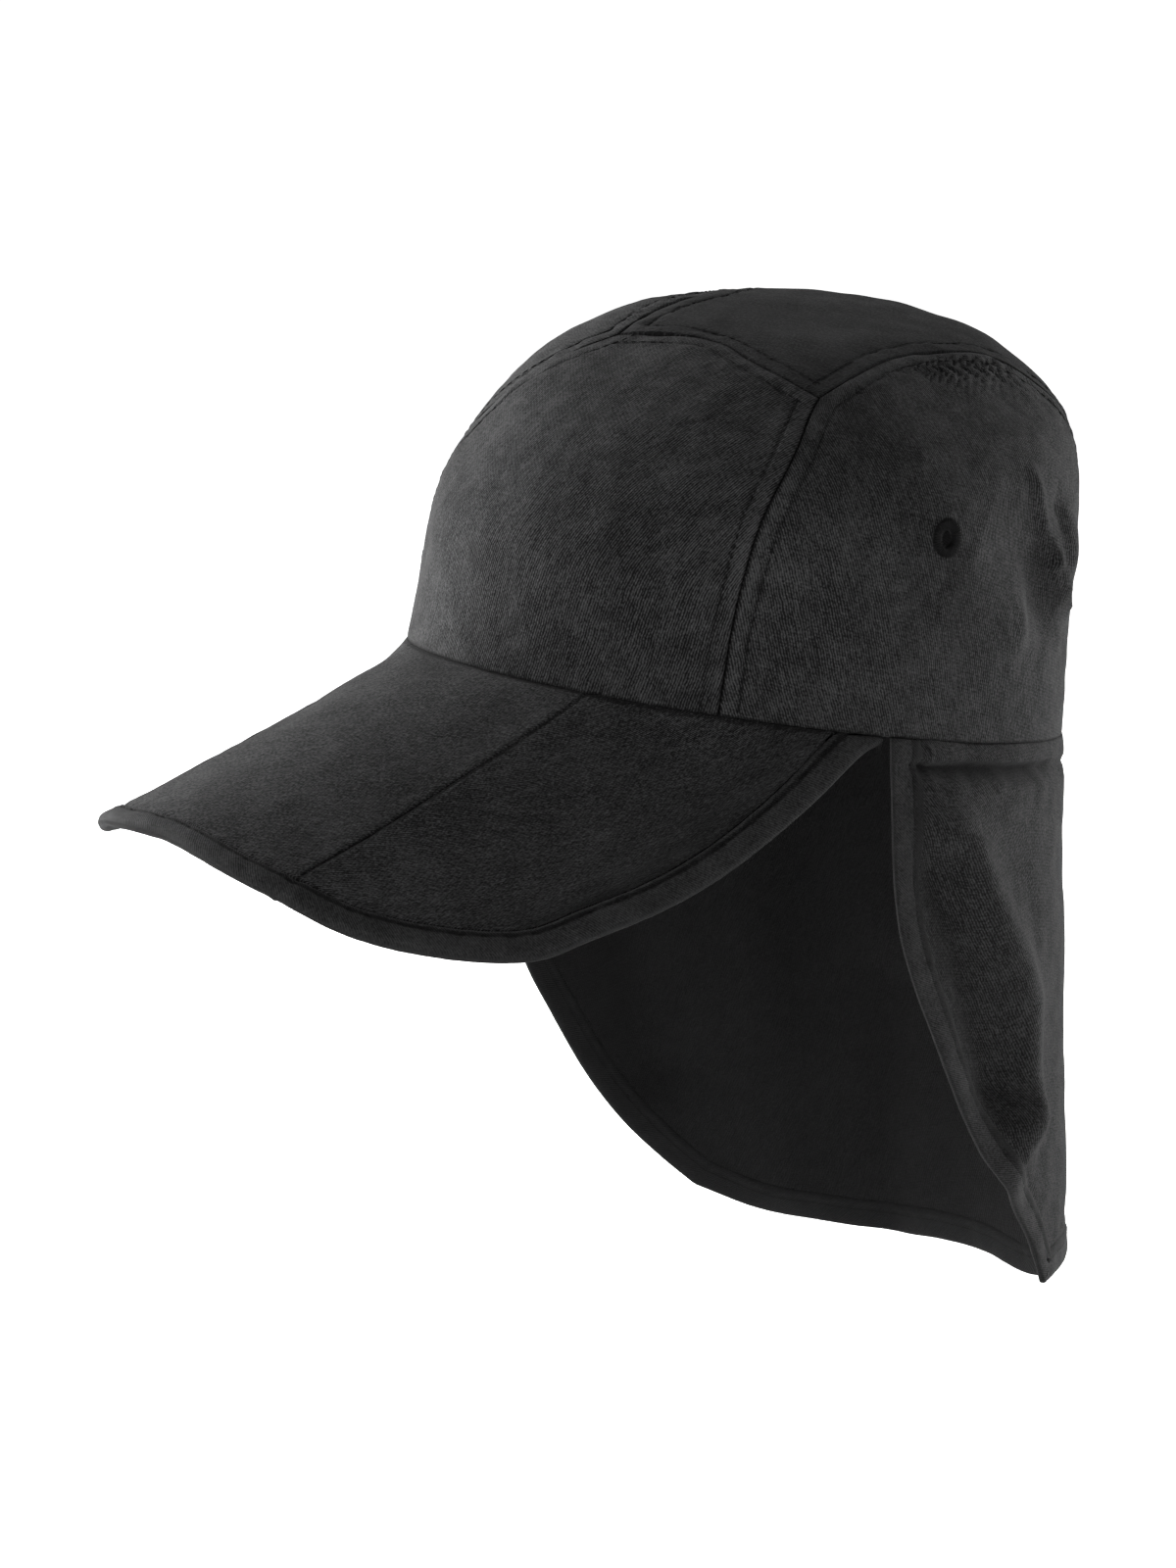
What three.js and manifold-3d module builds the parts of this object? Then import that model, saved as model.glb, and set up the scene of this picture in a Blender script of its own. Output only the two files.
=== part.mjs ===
// Legionnaire cap: a soft crown of four panels, a peak folded in three, and a neck flap.
// Millimetres. +Z is up, the cap faces -Y and +X is its wearer's left.
// The origin is the middle of the rim, where the cap sits on a head.
// Angles run round the rim from the front, in degrees: 90 is the left side, 180 the back.
import * as THREE from 'three';
import { mergeVertices } from 'three/addons/utils/BufferGeometryUtils.js';
import Module from 'manifold-3d';

// Crown
const rimHalfLength = 100;
const rimHalfWidth = 83;
const rimTilt = 12.65;
const crownHeight = 105;
const crownWall = 1.6;
const crownLean = 9.4;
const crownShift = 15;
const crownTwist = 13;
const twistHeight = 0.75;

// Eyelets
const eyeletDiameter = 11;
const eyeletHole = 4;
const eyeletThickness = 2.6;
const eyeletAngle = 86;
const eyeletClimb = 0.41;

// Peak
const peakLength = 95;
const peakOverhang = 3;
const peakThickness = 2.8;
const peakCornerAngle = 76;
const creaseAngle = 25.9;
const peakDroop = 19;
const peakArchSlope = 22;
const peakSideSlope = 33.4;
const peakUpturn = 4.8;
const peakCornerSag = 13;
const peakSagStart = 60;
const peakRoll = 4;
const peakBlend = 8;
const peakBindingWidth = 7;
const peakBindingThickness = 4;
const bindingSquareness = 0.55;
const peakTurnShare = 0.5;
const peakSinkShare = 1.06;

// Neck flap
const flapLength = 178;
const flapThickness = 1.3;
const flapBindingWidth = 10;
const flapBindingThickness = 2.4;
const flapFlare = 6.5;

// Clearances
const seamGap = 0.4;
const rimGap = 0.4;
const eyeletGap = 0.3;
const cornerGapAngle = 1.5;

// Crown sections from the rim up to the top: height is a share of the crown's height, and the
// reach to front, side and back is a share of the rim's half length or half width.
const CROWN_SECTIONS = [
  { height: 0, front: 1, side: 1, back: 1 },
  { height: 0.15, front: 0.98, side: 0.988, back: 0.989 },
  { height: 0.3, front: 0.972, side: 0.98, back: 0.975 },
  { height: 0.45, front: 0.951, side: 0.958, back: 0.974 },
  { height: 0.6, front: 0.864, side: 0.923, back: 0.986 },
  { height: 0.72, front: 0.754, side: 0.872, back: 0.966 },
  { height: 0.82, front: 0.627, side: 0.776, back: 0.916 },
  { height: 0.9, front: 0.482, side: 0.635, back: 0.792 },
  { height: 0.96, front: 0.331, side: 0.491, back: 0.617 },
  { height: 0.99, front: 0.162, side: 0.266, back: 0.331 },
  { height: 1, front: 0, side: 0, back: 0 },
];

// Seams on the left half before the crown's twist: climb is the share of the way to the top.
const FRONT_SIDE_SEAM = [
  { angle: 48, climb: 0.0 },
  { angle: 46.5, climb: 0.2 },
  { angle: 45, climb: 0.4 },
  { angle: 46.5, climb: 0.58 },
  { angle: 51, climb: 0.75 },
];
const TOP_SIDE_SEAM = [
  { angle: 51, climb: 0.75 },
  { angle: 72, climb: 0.83 },
  { angle: 96, climb: 0.85 },
  { angle: 117, climb: 0.832 },
  { angle: 130, climb: 0.775 },
  { angle: 135, climb: 0.68 },
  { angle: 141, climb: 0.5 },
  { angle: 148, climb: 0.28 },
  { angle: 156, climb: 0.0 },
];
const FRONT_TOP_SEAM = [
  { angle: -51, climb: 0.75 },
  { angle: -30, climb: 0.822 },
  { angle: 0, climb: 0.845 },
  { angle: 30, climb: 0.822 },
  { angle: 51, climb: 0.75 },
];

// Soft dents and swells of the crown, after its twist. Radius and depth are shares of the
// crown's height, and a swell has a depth below zero.
const CROWN_DENTS = [
  { angle: 108, climb: 0.33, radius: 0.15, depth: 0.045 },
  { angle: 117, climb: 0.26, radius: 0.11, depth: 0.04 },
  { angle: 124, climb: 0.33, radius: 0.1, depth: -0.035 },
  { angle: 104, climb: 0.26, radius: 0.11, depth: -0.02 },
  { angle: 55, climb: 0.2, radius: 0.13, depth: 0.02 },
  { angle: -70, climb: 0.4, radius: 0.2, depth: 0.025 },
  { angle: 205, climb: 0.35, radius: 0.2, depth: 0.03 },
];

// Gathers where each side panel is eased round the top panel: they run from one angle to another
// and are deepest a share of the climb below the seam.
const gatherFrom = 104;
const gatherTo = 136;
const gatherCount = 6;
const gatherDepth = 0.9;
const gatherFade = 0.05;

// Outer edge of the peak's left half from beyond its corner at the crown round to the front:
// across is a share of the peak's half width and forward a share of its reach from the origin.
const PEAK_EDGE = [
  { across: 0.995, forward: 0.27 },
  { across: 1.025, forward: 0.434 },
  { across: 1.017, forward: 0.552 },
  { across: 0.974, forward: 0.67 },
  { across: 0.93, forward: 0.758 },
  { across: 0.789, forward: 0.859 },
  { across: 0.618, forward: 0.944 },
  { across: 0.419, forward: 1.002 },
  { across: 0.229, forward: 1.027 },
  { across: 0.0, forward: 1.03 },
];

// Free edge of the neck flap from the left of the rim round the back to the right: round is a
// share of the way round the rim from its left end to its right end, and drop is a share of the
// flap's length. The left wing hangs swung back.
const FLAP_EDGE_LEFT = [
  { round: 0, drop: 0 },
  { round: 0.002, drop: 0.17 },
  { round: 0.007, drop: 0.285 },
  { round: 0.018, drop: 0.365 },
  { round: 0.037, drop: 0.451 },
  { round: 0.072, drop: 0.59 },
  { round: 0.107, drop: 0.697 },
  { round: 0.149, drop: 0.785 },
  { round: 0.168, drop: 0.83 },
  { round: 0.19, drop: 0.9 },
];
const FLAP_HEM = [
  { round: 0.19, drop: 0.9 },
  { round: 0.24, drop: 0.89 },
  { round: 0.3, drop: 0.895 },
  { round: 0.36, drop: 0.945 },
  { round: 0.425, drop: 1.002 },
  { round: 0.489, drop: 0.993 },
  { round: 0.549, drop: 0.999 },
  { round: 0.603, drop: 1.016 },
  { round: 0.693, drop: 1.012 },
  { round: 0.738, drop: 1.004 },
  { round: 0.783, drop: 0.98 },
];
const FLAP_EDGE_RIGHT = [
  { round: 1.0, drop: 0.0 },
  { round: 0.998, drop: 0.2 },
  { round: 0.984, drop: 0.42 },
  { round: 0.956, drop: 0.57 },
  { round: 0.923, drop: 0.675 },
  { round: 0.886, drop: 0.785 },
  { round: 0.85, drop: 0.87 },
  { round: 0.815, drop: 0.932 },
  { round: 0.783, drop: 0.98 },
];

// Folds of the neck flap from one place to another: drops, width and height are shares of the
// flap's length, and a height below zero is a valley.
const FLAP_FOLDS = [
  { round: 0.06, drop: 0.13, toRound: 0.14, toDrop: 0.35, width: 0.05, height: 0.026 },
  { round: 0.155, drop: 0.42, toRound: 0.155, toDrop: 0.6, width: 0.05, height: 0.024 },
  { round: 0.155, drop: 0.6, toRound: 0.125, toDrop: 0.7, width: 0.045, height: 0.018 },
  { round: 0.05, drop: 0.22, toRound: 0.11, toDrop: 0.55, width: 0.05, height: -0.026 },
  { round: 0.442, drop: 0.15, toRound: 0.402, toDrop: 1.0, width: 0.07, height: 0.022 },
  { round: 0.598, drop: 0.55, toRound: 0.602, toDrop: 1.0, width: 0.05, height: 0.018 },
  { round: 0.754, drop: 0.1, toRound: 0.705, toDrop: 0.95, width: 0.08, height: -0.02 },
  { round: 0.9, drop: 0.12, toRound: 0.822, toDrop: 0.75, width: 0.07, height: 0.022 },
];

// Turned tuck under the rim: how far the flap stands out at each share of its length.
const FLAP_TUCK = [
  { drop: 0.0, out: 0.0 },
  { drop: 0.035, out: 0.007 },
  { drop: 0.075, out: 0.003 },
  { drop: 0.105, out: -0.01 },
  { drop: 0.16, out: -0.001 },
  { drop: 0.3, out: 0.0 },
  { drop: 1.0, out: 0.0 },
];

// Mesh divisions
const frontColumns = 14;
const sideColumns = 24;
const panelRows = 11;
const peakColumns = 12;
const peakRows = 10;
const flapColumns = 30;
const flapRows = 14;
const peakBindingRings = 64;
const flapSideRings = 20;
const flapHemRings = 26;
const fineCount = 240;
const bindingSections = 8;
const eyeletSides = 16;

const radians = THREE.MathUtils.degToRad;
const rimSlope = Math.tan(radians(rimTilt));
const leanSlope = Math.tan(radians(crownLean));
const peakReach = rimHalfLength + peakLength;
const peakHalfWidth = rimHalfWidth + peakOverhang;
const flapStartAngle = peakCornerAngle + cornerGapAngle;
const flapSpan = 360 - 2 * flapStartAngle;

// Smooth value of one column at a place given in rows, such as 2.5
function columnAt(rows, column, place) {
  const last = rows.length - 1;
  const index = THREE.MathUtils.clamp(Math.floor(place), 0, last - 1);
  const t = place - index;
  const start = rows[index][column];
  const end = rows[index + 1][column];
  const before = index > 0 ? rows[index - 1][column] : 2 * start - end;
  const after = index + 2 <= last ? rows[index + 2][column] : 2 * end - start;
  const slopeStart = (end - before) / 2;
  const slopeEnd = (after - start) / 2;
  const cubic = 2 * start - 2 * end + slopeStart + slopeEnd;
  const square = 3 * end - 3 * start - 2 * slopeStart - slopeEnd;
  return ((cubic * t + square) * t + slopeStart) * t + start;
}

// Place in rows at which a rising column reaches a value
function placeOf(rows, column, value) {
  const last = rows.length - 1;
  for (let index = 0; index < last; index += 1) {
    const start = rows[index][column];
    const end = rows[index + 1][column];
    if (value <= end || index === last - 1) {
      return index + THREE.MathUtils.clamp((value - start) / (end - start), 0, 1);
    }
  }
  return last;
}

const bell = (distance, width) => Math.exp(-((distance / width) ** 2));

// Height of the rim, which is lower at the back
const rimHeight = (angle) => rimSlope * rimHalfLength * Math.cos(radians(angle));

// Point on the rim's plan, at a share of its size
function rimPoint(angle, share = 1) {
  const turn = radians(angle);
  const x = rimHalfWidth * share * Math.sin(turn);
  const y = -rimHalfLength * share * Math.cos(turn);
  return new THREE.Vector2(x, y);
}

// Crown surface before its dents, from an angle and a climb
function plainCrown(angle, climb) {
  const place = climb * (CROWN_SECTIONS.length - 1);
  const height = columnAt(CROWN_SECTIONS, 'height', place);
  const forward = Math.cos(radians(angle));
  const lengthwise = columnAt(CROWN_SECTIONS, forward > 0 ? 'front' : 'back', place);
  const sideways = columnAt(CROWN_SECTIONS, 'side', place);
  const reach = THREE.MathUtils.lerp(sideways, lengthwise, forward ** 2);
  const plan = rimPoint(angle, reach);
  const z = crownHeight * height + rimHeight(angle) * (1 - height);
  const lean = leanSlope * height;
  return new THREE.Vector3(plan.x + crownShift * height, plan.y, z - lean * plan.x);
}

// The seams and panels are laid out on a disc: its centre is the top and its edge is the rim.
const twistAt = (climb) => {
  return crownTwist * THREE.MathUtils.clamp(climb / twistHeight, 0, 1) ** 1.5;
};

function onDisc({ angle, climb }) {
  const turned = radians(angle + twistAt(climb));
  return new THREE.Vector2(Math.sin(turned), -Math.cos(turned)).multiplyScalar(1 - climb);
}

function fromDisc(spot) {
  const angle = THREE.MathUtils.radToDeg(Math.atan2(spot.x, -spot.y));
  return { angle, climb: 1 - spot.length() };
}

const mirrored = (rows) => rows.map((row) => ({ ...row, angle: -row.angle }));

function crownOnDisc(spot) {
  const { angle, climb } = fromDisc(spot);
  return plainCrown(angle, climb);
}

// Outward normal of a surface laid out on a plane, by small steps
function normalOf(surface, spot, step) {
  const along = surface(new THREE.Vector2(spot.x + step, spot.y));
  along.sub(surface(new THREE.Vector2(spot.x - step, spot.y)));
  const across = surface(new THREE.Vector2(spot.x, spot.y + step));
  across.sub(surface(new THREE.Vector2(spot.x, spot.y - step)));
  return along.cross(across).normalize();
}

const dentCentres = CROWN_DENTS.map((dent) => plainCrown(dent.angle, dent.climb));

function dentDepth(point) {
  let depth = 0;
  CROWN_DENTS.forEach((dent, index) => {
    const distance = point.distanceTo(dentCentres[index]);
    depth += crownHeight * dent.depth * bell(distance, crownHeight * dent.radius);
  });
  return depth;
}

// Push of the gathers, which start at the seam between the side and the top and fade below it
function gatherPush(spot) {
  const { angle, climb } = fromDisc(spot);
  const round = Math.abs(angle - twistAt(climb));
  const share = (round - gatherFrom) / (gatherTo - gatherFrom);
  if (share <= 0 || share >= 1) {
    return 0;
  }
  const wave = Math.sin(2 * Math.PI * gatherCount * share) * Math.sin(Math.PI * share);
  const seamClimb = columnAt(TOP_SIDE_SEAM, 'climb', placeOf(TOP_SIDE_SEAM, 'angle', round));
  const below = Math.max(seamClimb - climb, 0) / gatherFade;
  return gatherDepth * wave * below * Math.exp(1 - below);
}

const discStep = 0.004;

// Crown surface with its dents; the side panels have gathers too.
function crownSurface(gathered) {
  return (spot) => {
    const point = crownOnDisc(spot);
    const normal = normalOf(crownOnDisc, spot, discStep);
    const push = (gathered ? gatherPush(spot) : 0) - dentDepth(point);
    return point.addScaledVector(normal, push);
  };
}

// The crown's wall turns level at the rim, so its lower edge lies on the rim.
const levelClimb = 0.08;

function crownOutward(spot) {
  const normal = normalOf(crownSurface(false), spot, discStep);
  normal.z *= THREE.MathUtils.smoothstep(1 - spot.length(), 0, levelClimb);
  return normal.normalize();
}

const crownPanel = (sides, gathered) => {
  return shell(sides, crownSurface(gathered), crownOutward, crownWall);
};

// Even points along a smooth curve through a few spots
function spaced(spots, count) {
  return new THREE.SplineCurve(spots).getSpacedPoints(count);
}

// Spots between four sides: bottom and top run one way, left and right the other.
function patch({ bottom, top, left, right }) {
  const columns = bottom.length - 1;
  const rows = left.length - 1;
  const grid = [];
  for (let row = 0; row <= rows; row += 1) {
    const v = row / rows;
    const line = [];
    for (let column = 0; column <= columns; column += 1) {
      const u = column / columns;
      const spot = bottom[column].clone().multiplyScalar(1 - v);
      spot.addScaledVector(top[column], v);
      spot.addScaledVector(left[row], 1 - u).addScaledVector(right[row], u);
      spot.addScaledVector(bottom[0], -(1 - u) * (1 - v));
      spot.addScaledVector(bottom[columns], -u * (1 - v));
      spot.addScaledVector(top[0], -(1 - u) * v).addScaledVector(top[columns], -u * v);
      line.push(spot);
    }
    grid.push(line);
  }
  return grid;
}

// Draws the outer rows and columns of a grid of points in, which opens the seams
function drawnIn(grid, gap) {
  const rows = grid.length - 1;
  const columns = grid[0].length - 1;
  const moved = grid.map((line) => line.map((point) => point.clone()));
  const pull = (row, column, rowStep, columnStep) => {
    const inside = grid[row + rowStep][column + columnStep];
    const step = inside.clone().sub(grid[row][column]).setLength(gap);
    moved[row][column].add(step);
  };
  for (let column = 0; column <= columns; column += 1) {
    pull(0, column, 1, 0);
    pull(rows, column, -1, 0);
  }
  for (let row = 0; row <= rows; row += 1) {
    pull(row, 0, 0, 1);
    pull(row, columns, 0, -1);
  }
  return moved;
}

// Closed solid between two grids of points, the outer one facing out
function solidBetween(outer, inner) {
  const rows = outer.length;
  const columns = outer[0].length;
  const positions = [];
  for (const grid of [outer, inner]) {
    for (const line of grid) {
      for (const point of line) {
        positions.push(point.x, point.y, point.z);
      }
    }
  }
  const outerAt = (row, column) => row * columns + column;
  const innerAt = (row, column) => rows * columns + row * columns + column;
  const faces = [];
  const quad = (a, b, c, d) => faces.push(a, b, c, a, c, d);
  for (let row = 0; row < rows - 1; row += 1) {
    for (let column = 0; column < columns - 1; column += 1) {
      const corners = [[row, column], [row, column + 1], [row + 1, column + 1], [row + 1, column]];
      quad(...corners.map((corner) => outerAt(...corner)));
      quad(...corners.reverse().map((corner) => innerAt(...corner)));
    }
  }
  const wall = (from, to) => {
    quad(outerAt(...to), outerAt(...from), innerAt(...from), innerAt(...to));
  };
  for (let column = 0; column < columns - 1; column += 1) {
    wall([0, column], [0, column + 1]);
    wall([rows - 1, column + 1], [rows - 1, column]);
  }
  for (let row = 0; row < rows - 1; row += 1) {
    wall([row + 1, 0], [row, 0]);
    wall([row, columns - 1], [row + 1, columns - 1]);
  }
  const geometry = new THREE.BufferGeometry();
  geometry.setAttribute('position', new THREE.Float32BufferAttribute(positions, 3));
  geometry.setIndex(faces);
  return geometry;
}

// Shell over a patch of a surface, with its wall on the inner side
function shell(sides, surface, outward, wall) {
  const spots = patch(sides);
  const points = spots.map((line) => line.map((spot) => surface(spot)));
  const outer = drawnIn(points, seamGap / 2);
  const inner = outer.map((line, row) => line.map((point, column) => {
    return point.clone().addScaledVector(outward(spots[row][column]), -wall);
  }));
  return solidBetween(outer, inner);
}

const reversed = (points) => [...points].reverse();

// Spots along the rim on the disc
function rimSpots(from, to, count) {
  return Array.from({ length: count + 1 }, (unused, index) => {
    return onDisc({ angle: THREE.MathUtils.lerp(from, to, index / count), climb: 0 });
  });
}

// Seams of the crown on the disc
const seamRimAngle = FRONT_SIDE_SEAM[0].angle;
const backRimAngle = TOP_SIDE_SEAM[TOP_SIDE_SEAM.length - 1].angle;
const frontSide = {
  left: spaced(FRONT_SIDE_SEAM.map(onDisc), panelRows),
  right: spaced(mirrored(FRONT_SIDE_SEAM).map(onDisc), panelRows),
};
const topSide = {
  left: spaced(TOP_SIDE_SEAM.map(onDisc), sideColumns + panelRows),
  right: spaced(mirrored(TOP_SIDE_SEAM).map(onDisc), sideColumns + panelRows),
};
const frontTop = spaced(FRONT_TOP_SEAM.map(onDisc), frontColumns);

function frontPanel() {
  const sides = {
    bottom: rimSpots(-seamRimAngle, seamRimAngle, frontColumns),
    top: frontTop,
    left: frontSide.right,
    right: frontSide.left,
  };
  return crownPanel(sides, false);
}

function topPanel() {
  const sides = {
    bottom: frontTop,
    top: rimSpots(-backRimAngle, backRimAngle - 360, frontColumns),
    left: topSide.right,
    right: topSide.left,
  };
  return crownPanel(sides, false);
}

function leftSidePanel() {
  const sides = {
    bottom: rimSpots(seamRimAngle, backRimAngle, sideColumns),
    top: topSide.left.slice(0, sideColumns + 1),
    left: frontSide.left,
    right: reversed(topSide.left.slice(sideColumns)),
  };
  return crownPanel(sides, true);
}

function rightSidePanel() {
  const sides = {
    bottom: rimSpots(-backRimAngle, -seamRimAngle, sideColumns),
    top: reversed(topSide.right.slice(0, sideColumns + 1)),
    left: reversed(topSide.right.slice(sideColumns)),
    right: frontSide.right,
  };
  return crownPanel(sides, true);
}

// Eyelet: a flat stitched ring through the side panel
function eyeletFrame(side) {
  const turn = radians(side * eyeletAngle);
  const spot = new THREE.Vector2(Math.sin(turn), -Math.cos(turn)).multiplyScalar(1 - eyeletClimb);
  const surface = crownSurface(true);
  const normal = normalOf(surface, spot, discStep);
  const place = surface(spot).addScaledVector(normal, -crownWall / 2);
  const upright = new THREE.Vector3(0, 1, 0);
  const turnTo = new THREE.Quaternion().setFromUnitVectors(upright, normal);
  return { place, turnTo };
}

function eyeletRing() {
  const inside = eyeletHole / 2;
  const outside = eyeletDiameter / 2;
  const half = eyeletThickness / 2;
  const round = 0.45 * half;
  const profile = [
    [inside, -half + round], [inside + round, -half], [outside - round, -half],
    [outside, -half + round], [outside, half - round], [outside - round, half],
    [inside + round, half], [inside, half - round], [inside, -half + round],
  ].map(([radius, height]) => new THREE.Vector2(radius, height));
  return new THREE.LatheGeometry(profile, eyeletSides);
}

const wasm = await Module();
wasm.setup();

function toManifold(geometry) {
  const plain = geometry.clone();
  plain.deleteAttribute('normal');
  plain.deleteAttribute('uv');
  const merged = mergeVertices(plain, 1e-4);
  const mesh = new wasm.Mesh({
    numProp: 3,
    vertProperties: new Float32Array(merged.attributes.position.array),
    triVerts: new Uint32Array(merged.index.array),
  });
  return new wasm.Manifold(mesh);
}

function fromManifold(solid) {
  const mesh = solid.getMesh();
  const geometry = new THREE.BufferGeometry();
  const positions = new THREE.Float32BufferAttribute(mesh.vertProperties, 3);
  geometry.setAttribute('position', positions);
  geometry.setIndex(Array.from(mesh.triVerts));
  return geometry;
}

// Side panel with the hole that its eyelet is worked round
function withEyeletHole(panel, side) {
  const { place, turnTo } = eyeletFrame(side);
  const radius = eyeletDiameter / 2 + eyeletGap;
  const cutter = new THREE.CylinderGeometry(radius, radius, 6 * crownWall, eyeletSides);
  cutter.applyQuaternion(turnTo).translate(place.x, place.y, place.z);
  return fromManifold(toManifold(panel).subtract(toManifold(cutter)));
}

// Upper face of the peak over its plan: it slopes down to the front, turns up a little there and
// rolls down to its left. Its middle section is arched between the creases, the side sections fall
// away from them, and all three blend into the rim.
const creaseStart = rimPoint(creaseAngle);
const creaseX = creaseStart.x;

const cornerBack = rimPoint(peakCornerAngle).y - creaseStart.y;

function peakPlane(x, y) {
  const forward = -y + creaseStart.y;
  const archHeight = (Math.tan(radians(peakArchSlope)) * creaseX) / 2;
  const arch = archHeight * (1 - Math.min(Math.abs(x) / creaseX, 1) ** 2);
  const side = Math.max(Math.abs(x) - creaseX, 0);
  const drop = Math.tan(radians(peakDroop)) * forward + Math.tan(radians(peakSideSlope)) * side;
  const part = forward / peakLength;
  const roll = (peakRoll * part * x) / peakHalfWidth;
  const back = Math.max(peakSagStart - forward, 0) / (peakSagStart + cornerBack);
  const sag = (peakCornerSag * back ** 2 * side) / (peakHalfWidth - creaseX);
  return rimHeight(creaseAngle) - drop - sag + arch + peakUpturn * part ** 2 - roll;
}

const rimShare = (x, y) => Math.hypot(x / rimHalfWidth, y / rimHalfLength);

function peakHeight(x, y) {
  const share = rimShare(x, y);
  const angle = THREE.MathUtils.radToDeg(Math.atan2(x / rimHalfWidth, -y / rimHalfLength));
  const foot = rimPoint(angle);
  const footHeight = rimHeight(angle) - rimGap;
  if (share <= 1) {
    return footHeight;
  }
  const lift = footHeight - peakPlane(foot.x, foot.y);
  return peakPlane(x, y) + lift * Math.exp((-(share - 1) * foot.length()) / peakBlend);
}

const peakSurface = (spot) => new THREE.Vector3(spot.x, spot.y, peakHeight(spot.x, spot.y));
const peakStep = 0.2;

// Points of a line moved sideways in its plane, to the left of its run
function insetLine(points, distance) {
  return points.map((point, index) => {
    const before = points[Math.max(index - 1, 0)];
    const after = points[Math.min(index + 1, points.length - 1)];
    const run = after.clone().sub(before).normalize();
    return new THREE.Vector2(point.x - run.y * distance, point.y + run.x * distance);
  });
}

const peakTuck = 1 - crownWall / rimHalfWidth;
const insideRim = (spot) => rimShare(spot.x, spot.y) < peakTuck;

// Edge of the peak from the left corner round the front to the right corner
function peakEdge(count) {
  const rest = PEAK_EDGE.map((row) => {
    return new THREE.Vector2(row.across * peakHalfWidth, -row.forward * peakReach);
  });
  const half = [rimPoint(peakCornerAngle), ...rest];
  const other = reversed(half).slice(1).map((spot) => new THREE.Vector2(-spot.x, spot.y));
  return spaced([...half, ...other], count);
}

const fineEdge = peakEdge(fineCount);
const fineInset = insetLine(fineEdge, -peakBindingWidth - seamGap);

// Part of the inset edge of the peak on the left of the middle, from the rim to the crease
function leftInset() {
  return fineInset.filter((spot) => !insideRim(spot) && spot.x > creaseX);
}

const arcOf = (from, to, count, share) => Array.from({ length: count + 1 }, (unused, index) => {
  return rimPoint(THREE.MathUtils.lerp(from, to, index / count), share);
});

const lineOf = (from, to, count) => Array.from({ length: count + 1 }, (unused, index) => {
  return from.clone().lerp(to, index / count);
});

function peakMiddle() {
  const front = fineInset.filter((spot) => Math.abs(spot.x) <= creaseX);
  const bottom = spaced(reversed(front), peakColumns);
  bottom[0].x = -creaseX;
  bottom[peakColumns].x = creaseX;
  const top = arcOf(-creaseAngle, creaseAngle, peakColumns, peakTuck);
  return {
    bottom,
    top,
    left: lineOf(bottom[0], top[0], peakRows),
    right: lineOf(bottom[peakColumns], top[peakColumns], peakRows),
  };
}

// Left section: its corner lies where the inset outline turns from the side to the front.
function peakLeft() {
  const inset = leftInset();
  const turn = Math.round((inset.length - 1) * peakTurnShare);
  const start = inset[0];
  const slant = Math.atan2(start.x / rimHalfWidth, -start.y / rimHalfLength);
  const top = arcOf(creaseAngle, THREE.MathUtils.radToDeg(slant), peakColumns, peakTuck);
  const side = spaced([top[peakColumns], ...inset.slice(1, turn + 1)], peakRows);
  const bottom = spaced(reversed(inset.slice(turn)), peakColumns);
  bottom[0].x = creaseX;
  return {
    bottom,
    top,
    left: lineOf(bottom[0], top[0], peakRows),
    right: reversed(side),
  };
}

function mirroredSides({ bottom, top, left, right }) {
  const flip = (points) => points.map((spot) => new THREE.Vector2(-spot.x, spot.y));
  return {
    bottom: reversed(flip(bottom)),
    top: reversed(flip(top)),
    left: flip(right),
    right: flip(left),
  };
}

const peakOutward = (spot) => normalOf(peakSurface, spot, peakStep);
const peakSection = (sides) => shell(sides, peakSurface, peakOutward, peakThickness);

// Band along an edge: rounded section swept over pairs of spots, and raised on their surface
function bandSolid({ outerLine, innerLine, surface, outward, thickness, rise }) {
  const count = outerLine.length;
  const square = (value) => Math.sign(value) * Math.abs(value) ** bindingSquareness;
  const rings = outerLine.map((edge, index) => {
    const ring = [];
    for (let corner = 0; corner < bindingSections; corner += 1) {
      const turn = (2 * Math.PI * (corner + 0.5)) / bindingSections;
      const spot = innerLine[index].clone().lerp(edge, (1 + square(Math.cos(turn))) / 2);
      const height = rise - (thickness * (1 - square(Math.sin(turn)))) / 2;
      ring.push(surface(spot).addScaledVector(outward(spot), height));
    }
    return ring;
  });
  const positions = rings.flat().flatMap((point) => [point.x, point.y, point.z]);
  const faces = [];
  const at = (ring, corner) => ring * bindingSections + (corner % bindingSections);
  for (let ring = 0; ring < count - 1; ring += 1) {
    for (let corner = 0; corner < bindingSections; corner += 1) {
      const a = at(ring, corner);
      const b = at(ring + 1, corner);
      const c = at(ring + 1, corner + 1);
      const d = at(ring, corner + 1);
      faces.push(a, b, c, a, c, d);
    }
  }
  for (let corner = 1; corner < bindingSections - 1; corner += 1) {
    faces.push(at(0, 0), at(0, corner), at(0, corner + 1));
    faces.push(at(count - 1, 0), at(count - 1, corner + 1), at(count - 1, corner));
  }
  const geometry = new THREE.BufferGeometry();
  geometry.setAttribute('position', new THREE.Float32BufferAttribute(positions, 3));
  geometry.setIndex(faces);
  return geometry;
}

function turnedOut(geometry) {
  const index = geometry.index.array;
  for (let face = 0; face < index.length; face += 3) {
    const keep = index[face];
    index[face] = index[face + 1];
    index[face + 1] = keep;
  }
  return geometry;
}

// The binding stands a little above the peak, and sinks to it where it passes under the crown.
const bindingRise = (peakBindingThickness - peakThickness) / 2;

function bindingSpot(spot) {
  const clear = THREE.MathUtils.smoothstep(rimShare(spot.x, spot.y), 1, peakSinkShare);
  const point = peakSurface(spot);
  point.z -= bindingRise * (1 - clear);
  return point;
}

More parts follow.
